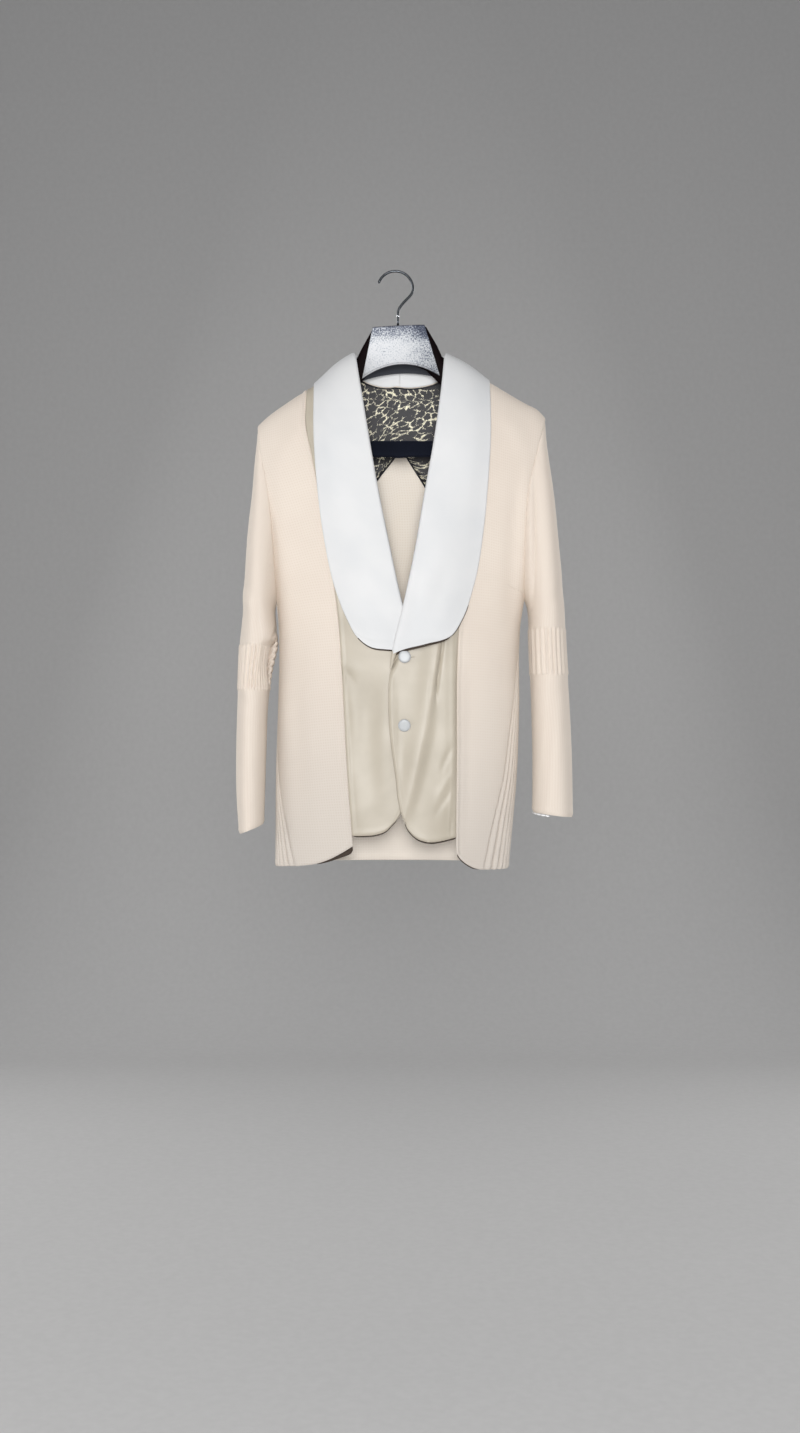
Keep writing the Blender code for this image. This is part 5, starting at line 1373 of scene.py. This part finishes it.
# Neck, by distance out from the middle: heights of top and underside, and half its depth
HANGER_NECK = (
    ("out", "right", "left", "underside", "half"),
    (0.0000, -0.0830, -0.0830, -0.1370, 0.0052),
    (0.0200, -0.0838, -0.0820, -0.1390, 0.0052),
    (0.0400, -0.0848, -0.0812, -0.1470, 0.0052),
    (0.0480, -0.0990, -0.0950, -0.1550, 0.0054),
    (0.0570, -0.1150, -0.1105, -0.1640, 0.0057),
    (0.0640, -0.1295, -0.1262, -0.1700, 0.0060),
)
# Arms, by distance out: depth below the cloth, height of the underside, and half the depth
HANGER_ARM = (
    ("out", "below", "underside", "half"),
    (0.0850, 0.0054, -0.1800, 0.0080),
    (0.1200, 0.0018, -0.2000, 0.0100),
    (0.1500, 0.0024, -0.2240, 0.0120),
    (0.1630, 0.0034, -0.2320, 0.0130),
    (0.1645, 0.0034, -0.2810, 0.0130),
    (0.1800, 0.0038, -0.2830, 0.0130),
    (0.1900, 0.0044, -0.2780, 0.0115),
    (0.1980, 0.0050, -0.2620, 0.0080),
)
STATION_STEP, HANGER_SIDES = 6, 40
BEECH_GRAIN = (20.833, 2.7778, 0.9615)   # its length, depth and height, in millimetres


def lacquered_beech():
    """Beech, turned and stained burgundy under a hard satin lacquer: near black with a red glow."""
    return toned("lacquered_beech", {"Scale": 1.0, "Detail": 5.0, "Roughness": 0.6},
                 ((0.30, "#090405"), (0.72, "#13080A")),
                 {"Roughness": 0.60, "Specular IOR Level": 0.05}, relief=(0.06, 0.0004),
                 place="Object", grain=[every(size) for size in BEECH_GRAIN])


def hanger_points():
    stations = []
    for side in SIGN:
        run = [(HANGER_MIDDLE + SIGN[side] * out, {"right": right, "left": left}[side], underside,
                half) for out, right, left, underside, half in HANGER_NECK[1:]]
        for out, below, underside, half in HANGER_ARM[1:]:
            x = SIGN[side] * out
            run.append((x, float(shoulder(x)) - below, underside, half))
        stations.append(run)
    stations = np.array(stations[0][:0:-1] + stations[1])
    keys = np.arange(len(stations))
    fine = np.linspace(0, len(stations) - 1, (len(stations) - 1) * STATION_STEP + 1)
    run = np.stack([np.interp(fine, keys, stations[:, k]) for k in range(4)], axis=-1)
    turn = np.linspace(0, 2 * math.pi, HANGER_SIDES, endpoint=False)
    top, underside = run[:, 1:2], run[:, 2:3]
    z = (top + underside) / 2 + (top - underside) / 2 * np.sin(turn)
    return np.stack(np.broadcast_arrays(run[:, :1], run[:, 3:4] * np.cos(turn), z), axis=-1)


hanger = skin_over("hanger_arms", hanger_points(), lacquered_beech())
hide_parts("hanger_body")

# --- Trouser bar --------------------------------------------------------------------------------
# A flat bar between the hanger's arms, flocked in blue-black so that cloth doesn't slip on it. A
# small seam of the flocking shows as a bump under its middle.

BAR_TOP, BAR_BOTTOM, BAR_END = -0.2528, -0.2768, 0.1627
BAR_HALF, BAR_ROUND = 0.0030, 0.0024
BAR_STEPS, CORNER_STEPS = 120, 6
BUMP_PLACE, BUMP_WIDE, BUMP_DEEP = 0.0045, 0.0085, 0.0016
FLOCK_PILE = 0.909       # size of its tufts, in millimetres


def flock():
    """Nylon flock on a painted bar: no gloss, with a soft pile that catches a little light."""
    return toned("nylon_flock", {"Scale": every(FLOCK_PILE), "Detail": 3.0, "Roughness": 0.7},
                 ((0.3, "#07090F"), (0.75, "#141826")),
                 {"Roughness": 1.0, "Specular IOR Level": 0.15, "Sheen Weight": 0.35,
                  "Sheen Roughness": 0.6, "Sheen Tint": from_hex("#5A6480")},
                 relief=(0.8, 0.0006), place="Object")


def bar_points():
    x = np.linspace(-BAR_END, BAR_END, BAR_STEPS + 1)[:, None]
    corner = np.radians(np.concatenate([np.linspace(a, a + 90, CORNER_STEPS + 1)
                                        for a in (0, 90, 180, 270)]))
    high, deep = (BAR_TOP - BAR_BOTTOM) / 2 - BAR_ROUND, BAR_HALF - BAR_ROUND
    z = high * np.sign(np.sin(corner + 1e-3)) + BAR_ROUND * np.sin(corner)
    y = deep * np.sign(np.cos(corner + 1e-3)) + BAR_ROUND * np.cos(corner)
    bump = BUMP_DEEP * np.exp(-((x - BUMP_PLACE) / BUMP_WIDE) ** 4) * (z < 0)
    height = (BAR_TOP + BAR_BOTTOM) / 2 + z - bump
    return np.stack([*np.broadcast_arrays(x, y, height)], axis=-1)


bar = skin_over("trouser_bar", bar_points(), flock())
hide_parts("hanger_bar")

# --- Neck piece ---------------------------------------------------------------------------------
# A plain silver card folded over the hanger's neck: a brushed metallic laminate with creased top
# edges, darker and cooler to its right side and top, and thin dark printed lines at its edges.

CARD = 0.0009
CARD_TOP = {"right": (-0.0364, -0.0838), "left": (0.0411, -0.0802)}
CARD_FOOT = {"right": (-0.0522, -0.1615), "left": (0.0642, -0.1570)}
CARD_ARCH = 0.0165       # how far the middle of its lower edge arches up
CARD_BOW_TOP, CARD_BOW_FOOT = 0.0030, 0.0150     # how far each wall bows out at the middle
CARD_SIDE = 0.0070       # half the distance between its walls at the sides
CARD_FLARE = 0.7         # how fast the bow grows from the top down
CARD_REAR = 0.0045       # and how much less the rear wall's does
CARD_COLUMNS, CARD_ROWS, CARD_FOLD = 52, 40, 9
EDGE_LINE, INNER_LINE_IN, INNER_LINE_HALF = 0.0009, 0.0034, 0.0005   # the printed lines
INNER_LINE_DARK, CREASE_DARK = 0.35, 0.85
FOLD_RISE = 0.0005       # the fold stands this much above the walls' tops
STEM_ACROSS, STEM_HOLE, STEM_HOLE_DEEP = 0.0015, 0.0034, 0.004
FOIL_SPECK, FOIL_CLOUD = 1.7857, 14.286  # sizes in the foil, in millimetres


def card_points():
    """Front wall from its foot up, over the fold, and down the rear wall."""
    across = np.linspace(-1, 1, CARD_COLUMNS + 1)
    share = ((across + 1) / 2)[:, None]
    top = (1 - share) * np.array(CARD_TOP["right"]) + share * np.array(CARD_TOP["left"])
    foot = (1 - share) * np.array(CARD_FOOT["right"]) + share * np.array(CARD_FOOT["left"])
    belly = 1 - across ** 2
    foot[:, 1] += CARD_ARCH * belly
    wall = []
    for up in np.linspace(0, 1, CARD_ROWS + 1):
        line = foot + up * (top - foot)
        bow = CARD_BOW_FOOT + (CARD_BOW_TOP - CARD_BOW_FOOT) * up ** CARD_FLARE
        wall.append(np.stack([line[:, 0], -(CARD_SIDE + bow * belly), line[:, 1]], axis=-1))
    drop = CARD_REAR * np.linspace(0, 1, CARD_ROWS + 1)
    rear = [row * (1, -1, 1) - np.outer(belly, (0, 0, d)) for row, d in zip(wall[::-1], drop)]
    ridge = [wall[-1] * (1, place, 1) + (0, 0, FOLD_RISE * (1 - place * place))
             for place in np.linspace(1, -1, CARD_FOLD + 2)[1:-1]]
    return np.array(wall + ridge + rear)


def silver_laminate():
    """Card faced in brushed aluminium foil: fine speckled brushing, cooler where the foil is worn.

    Card faced in brushed aluminium foil: fine speckled brushing, darker and cooler to its right and
    top.
    """
    made, tree, shader = material("brushed_foil_card")
    cut = add(tree, "UVMap", {"uv_map": "cut"}).outputs["UV"]
    where = add(tree, "SeparateXYZ", inputs={"Vector": add(tree, "TexCoord").outputs["Object"]})
    brushed = add(tree, "Mapping", inputs={"Vector": cut, "Scale": (1.0, 0.7, 1.0)})
    speck = add(tree, "TexNoise", inputs={"Vector": brushed.outputs["Vector"],
                                          "Scale": every(FOIL_SPECK), "Detail": 2.0,
                                          "Roughness": 0.6})
    cloud = add(tree, "TexNoise", inputs={"Vector": cut, "Scale": every(FOIL_CLOUD),
                                          "Detail": 4.0, "Roughness": 0.65})
    # darker and cooler towards its right side and its top
    toward_right_and_top = [add(tree, "MapRange", {"interpolation_type": "SMOOTHSTEP"},
                {"Value": where.outputs[axis], "From Min": start, "From Max": end,
                 "To Max": most}).outputs["Result"]
            for axis, start, end, most in (("X", 0.010, 0.044, 0.13), ("Z", -0.116, -0.083, 0.24))]
    right_and_top = add(tree, "Math", {"operation": "ADD"}, {0: toward_right_and_top[0], 1: toward_right_and_top[1]})
    mottled = add(tree, "Math", {"operation": "MULTIPLY_ADD"},
                  {0: cloud.outputs["Fac"], 1: 0.30, 2: right_and_top.outputs["Value"]})
    dusted = add(tree, "Math", {"operation": "MULTIPLY_ADD"},
                 {0: speck.outputs["Fac"], 1: 0.90, 2: mottled.outputs["Value"]})
    foil = add(tree, "ValToRGB",
               {"stops": ((0.58, "#DCDDDF"), (0.69, "#CDD0D4"), (0.82, "#848A97"),
                          (0.95, "#3C4254"))},
               {"Fac": dusted.outputs["Value"]}).outputs["Color"]
    edge = add(tree, "Attribute", {"attribute_name": "edge_line"})
    lined = add(tree, "Mix", {"data_type": "RGBA"},
                {"Factor": edge.outputs["Fac"], "A": foil, "B": from_hex("#2E2A30")})
    gloss = add(tree, "MapRange", inputs={"Value": speck.outputs["Fac"], "From Min": 0.3,
                                          "From Max": 0.7, "To Min": 0.48, "To Max": 0.62})
    bump = add(tree, "Bump", inputs={"Height": speck.outputs["Fac"], "Strength": 0.22,
                                     "Distance": 0.0003})
    fill(tree, shader, {"Base Color": lined.outputs["Result"], "Roughness": gloss.outputs["Result"],
                        "Normal": bump.outputs["Normal"], "Metallic": 0.30})
    return made


def card_inside_painted_shade():
    """The card's inner face: matt grey board, its pulp finer than shows, made dark as painted
    shade.
    """
    return toned("card_inside_painted_shade", {"Scale": 300.0, "Detail": 3.0},
                 ((0.3, "#33363D"), (0.7, "#464951")), {"Roughness": 0.8})


grid = card_points()
card = cloth("neck_card", grid, CARD, silver_laminate(), card_inside_painted_shade())
reach = np.minimum(from_edge(grid, "lower"), from_edge(grid, "upper"))
inner_line = np.abs(reach - INNER_LINE_IN) < INNER_LINE_HALF
line = np.where(reach < EDGE_LINE, 1.0, np.where(inner_line, INNER_LINE_DARK, 0.0))
line[CARD_ROWS:-CARD_ROWS] = CREASE_DARK             # the creases along its top are drawn dark
edge_line = card.data.attributes.new("edge_line", "FLOAT", "POINT")
edge_line.data.foreach_set("value", line.reshape(-1).astype(np.float32))
holed = bmesh.new()
holed.from_mesh(card.data)
middles = {face: face.calc_center_median() for face in holed.faces}
stem_faces = [face for face, (x, y, z) in middles.items()
              if z > CARD_TOP["right"][1] - STEM_HOLE_DEEP
              and math.hypot(x - STEM_ACROSS, y) < STEM_HOLE]
bmesh.ops.delete(holed, geom=stem_faces, context="FACES_ONLY")
holed.to_mesh(card.data)
holed.free()
# The card's inner faces take the dark board: painted shade inside the fold
card.modifiers["wall"].material_offset = 1
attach(card, "root")
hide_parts("hanger_sleeve")

# --- Hook ---------------------------------------------------------------------------------------
# The hook is bent from 3.8 mm steel wire with a dark polished nickel finish. Its stem goes down
# through the neck piece into the wood, with a small bright ferrule on it.

WIRE = 0.0019
HOOK_RADIUS, HOOK_MIDDLE = 0.0264, -0.0025           # to the middle of the wire, and its world X
HOOK_TIP, HOOK_BACK = 162.0, -5.0        # where its bow starts and ends, in degrees
LEAST_TIP = 0.05         # square of the smallest share of the radius at its rounded tip
STEM_STRAIGHT, STEM_STEP = -0.0620, 0.010
BEND_START, BEND_END = (-0.0010, -0.0105), (0.0, 0.0150)
BOW_STEPS, BEND_STEPS, FERRULE_STEPS, WIRE_SIDES = 89, 39, 14, 24
STEM_CLEAR = 0.0003
HAZE = 25.0              # size of the nickel's haze, in millimetres
FERRULE = 0.0026, -0.0655, 0.0030                    # radius, height of its middle, and length


def dark_nickel(name, colour, roughness):
    """Nickel-plated spring steel, polished and darkened: a grey metal with sharp small glints."""
    made, tree, shader = material(name)
    haze = add(tree, "TexNoise", inputs={"Vector": add(tree, "TexCoord").outputs["Object"],
                                         "Scale": every(HAZE), "Detail": 2.0})
    gloss = add(tree, "MapRange", inputs={"Value": haze.outputs["Fac"], "From Min": 0.3,
                                          "From Max": 0.7, "To Min": roughness - 0.02,
                                          "To Max": roughness + 0.03})
    fill(tree, shader, {"Roughness": gloss.outputs["Result"], "Base Color": from_hex(colour),
                        "Metallic": 1.0})
    return made


def hook_path():
    top = np.array([HOOK_MIDDLE, WIRE - HOOK_RADIUS])
    angles = np.radians(np.linspace(HOOK_TIP, HOOK_BACK, BOW_STEPS + 1))
    bow = top + HOOK_RADIUS * np.stack([np.cos(angles), np.sin(angles)], axis=-1)
    stem = np.array([STEM_ACROSS, STEM_STRAIGHT])
    share = np.linspace(0, 1, BEND_STEPS + 1)[1:, None]
    down, before = bow[-1] + np.array(BEND_START), stem + np.array(BEND_END)
    bend = ((1 - share) ** 3 * bow[-1] + 3 * (1 - share) ** 2 * share * down
            + 3 * (1 - share) * share ** 2 * before + share ** 3 * stem)
    foot = np.array([[STEM_ACROSS, STEM_STRAIGHT - STEM_STEP],
                     [STEM_ACROSS, HANGER_NECK[1][1] + STEM_CLEAR]])
    flat = np.concatenate([bow, bend, foot])
    return np.stack([flat[:, 0], np.zeros(len(flat)), flat[:, 1]], axis=-1)


path = hook_path()
to_tip = np.linalg.norm(path - path[0], axis=-1)
rounded = np.sqrt(np.clip(1 - (1 - to_tip / WIRE) ** 2, LEAST_TIP, 1))
radius = WIRE * np.where(to_tip < WIRE, rounded, 1.0)
hook = tube("hook_wire", path, radius, dark_nickel("dark_nickel", "#4A4D51", 0.25),
            sides=WIRE_SIDES)
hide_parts("hanger_hook")
size, height, length = FERRULE
up = np.linspace(-1, 1, FERRULE_STEPS + 1)
tube("hook_ferrule", [(STEM_ACROSS, 0.0, height + length / 2 * s) for s in up],
     WIRE + (size - WIRE) * (1 - up ** 4), dark_nickel("bright_nickel", "#D9DBDD", 0.14),
     sides=WIRE_SIDES)

# --- Room ---------------------------------------------------------------------------------------
# A plain pale floor that curves up into a wall, soft disks of light in front, beside, above and
# behind, and a level camera straight in front of the jacket.

FLOOR, WALL, CORNER = -1.745, 3.60, 0.90
HALF_WIDTH, NEAR, WALL_TOP = 4.5, -4.0, 2.5
CORNER_TURNS, ACROSS_STEPS = 32, 8
ROLLER = 16.667          # size of the roller's texture, in millimetres


def pale_paint():
    """Matt emulsion on plaster, pale warm grey, with the faintest roller texture."""
    return toned("pale_emulsion", {"Scale": every(ROLLER), "Detail": 3.0},
                 ((0.3, "#C4C3C2"), (0.7, "#C8C7C6")), {"Roughness": 0.95}, place="Object")


turn = np.radians(np.linspace(0, 90, CORNER_TURNS + 1))
section = [(NEAR, FLOOR)]
section += [(WALL - CORNER + CORNER * math.sin(a), FLOOR + CORNER - CORNER * math.cos(a))
            for a in turn]
section += [(WALL, WALL_TOP)]
sweep = np.array([[(x, y, z) for x in np.linspace(-HALF_WIDTH, HALF_WIDTH, ACROSS_STEPS + 1)]
                  for y, z in section])
room = bpy.data.meshes.new("room")
count = sweep.shape[1]
room.from_pydata(sweep.reshape(-1, 3), [], [
    (r * count + c, r * count + c + 1, (r + 1) * count + c + 1, (r + 1) * count + c)
    for r in range(len(section) - 1) for c in range(count - 1)])
room.shade_smooth()
floor = into_scene("floor", room)
floor.data.materials.append(pale_paint())

# Soft lights: place, what it faces, size and power
LIGHTS = {
    "window_light": ((-1.7, -2.4, 0.95), (0.0, 0.0, -0.50), 0.9, 11.0),
    "front_light": ((0.02, -3.2, -0.22), (0.0, 0.0, -0.45), 0.8, 38.0),
    "upper_light": ((-0.15, -2.1, 0.20), (0.0, 0.0, -0.40), 0.6, 7.0),
    "level_light": ((0.0, -2.3, -0.60), (0.0, 0.0, -0.60), 0.35, 7.5),
    "low_light": ((0.0, -2.6, -1.40), (0.0, 0.0, -0.86), 0.8, 9.0),
    "left_light": ((-2.6, -1.1, -0.40), (0.0, 0.0, -0.50), 1.2, 12.0),
    "right_light": ((2.6, -1.1, -0.40), (0.0, 0.0, -0.50), 1.2, 9.0),
    "rear_left_light": ((-2.3, 2.2, 0.30), (0.0, 0.0, -0.50), 1.2, 34.0),
    "rear_right_light": ((2.3, 2.2, 0.30), (0.0, 0.0, -0.50), 1.2, 34.0),
    "top_light": ((0.0, -0.7, 1.9), (0.0, 0.0, -0.50), 1.4, 3.0),
}
for name, (place, aim, size, power) in LIGHTS.items():
    lamp = bpy.data.lights.new(name, "AREA")
    lamp.shape, lamp.size, lamp.energy = "DISK", size, power
    light = into_scene(name, lamp)
    light.location = place
    away = np.array(place) - np.array(aim)
    light.rotation_euler = (math.atan2(math.hypot(away[0], away[1]), away[2]), 0.0,
                            math.atan2(away[0], -away[1]))
sky = bpy.data.worlds.new("soft_sky")
sky.use_nodes = True
fill(sky.node_tree, sky.node_tree.nodes["Background"],
     {"Color": from_hex("#E4E6EA"), "Strength": 0.24})
bpy.context.scene.world = sky

lens = bpy.data.cameras.new("camera")
lens.lens, lens.sensor_width, lens.sensor_fit = 41.87, 36.0, "AUTO"
camera = into_scene("camera", lens)
camera.location = (0.0045, -2.5, -0.666)
camera.rotation_euler = (math.radians(90), 0.0, 0.0)
bpy.context.scene.camera = camera
bpy.context.scene.view_settings.view_transform = "Standard"
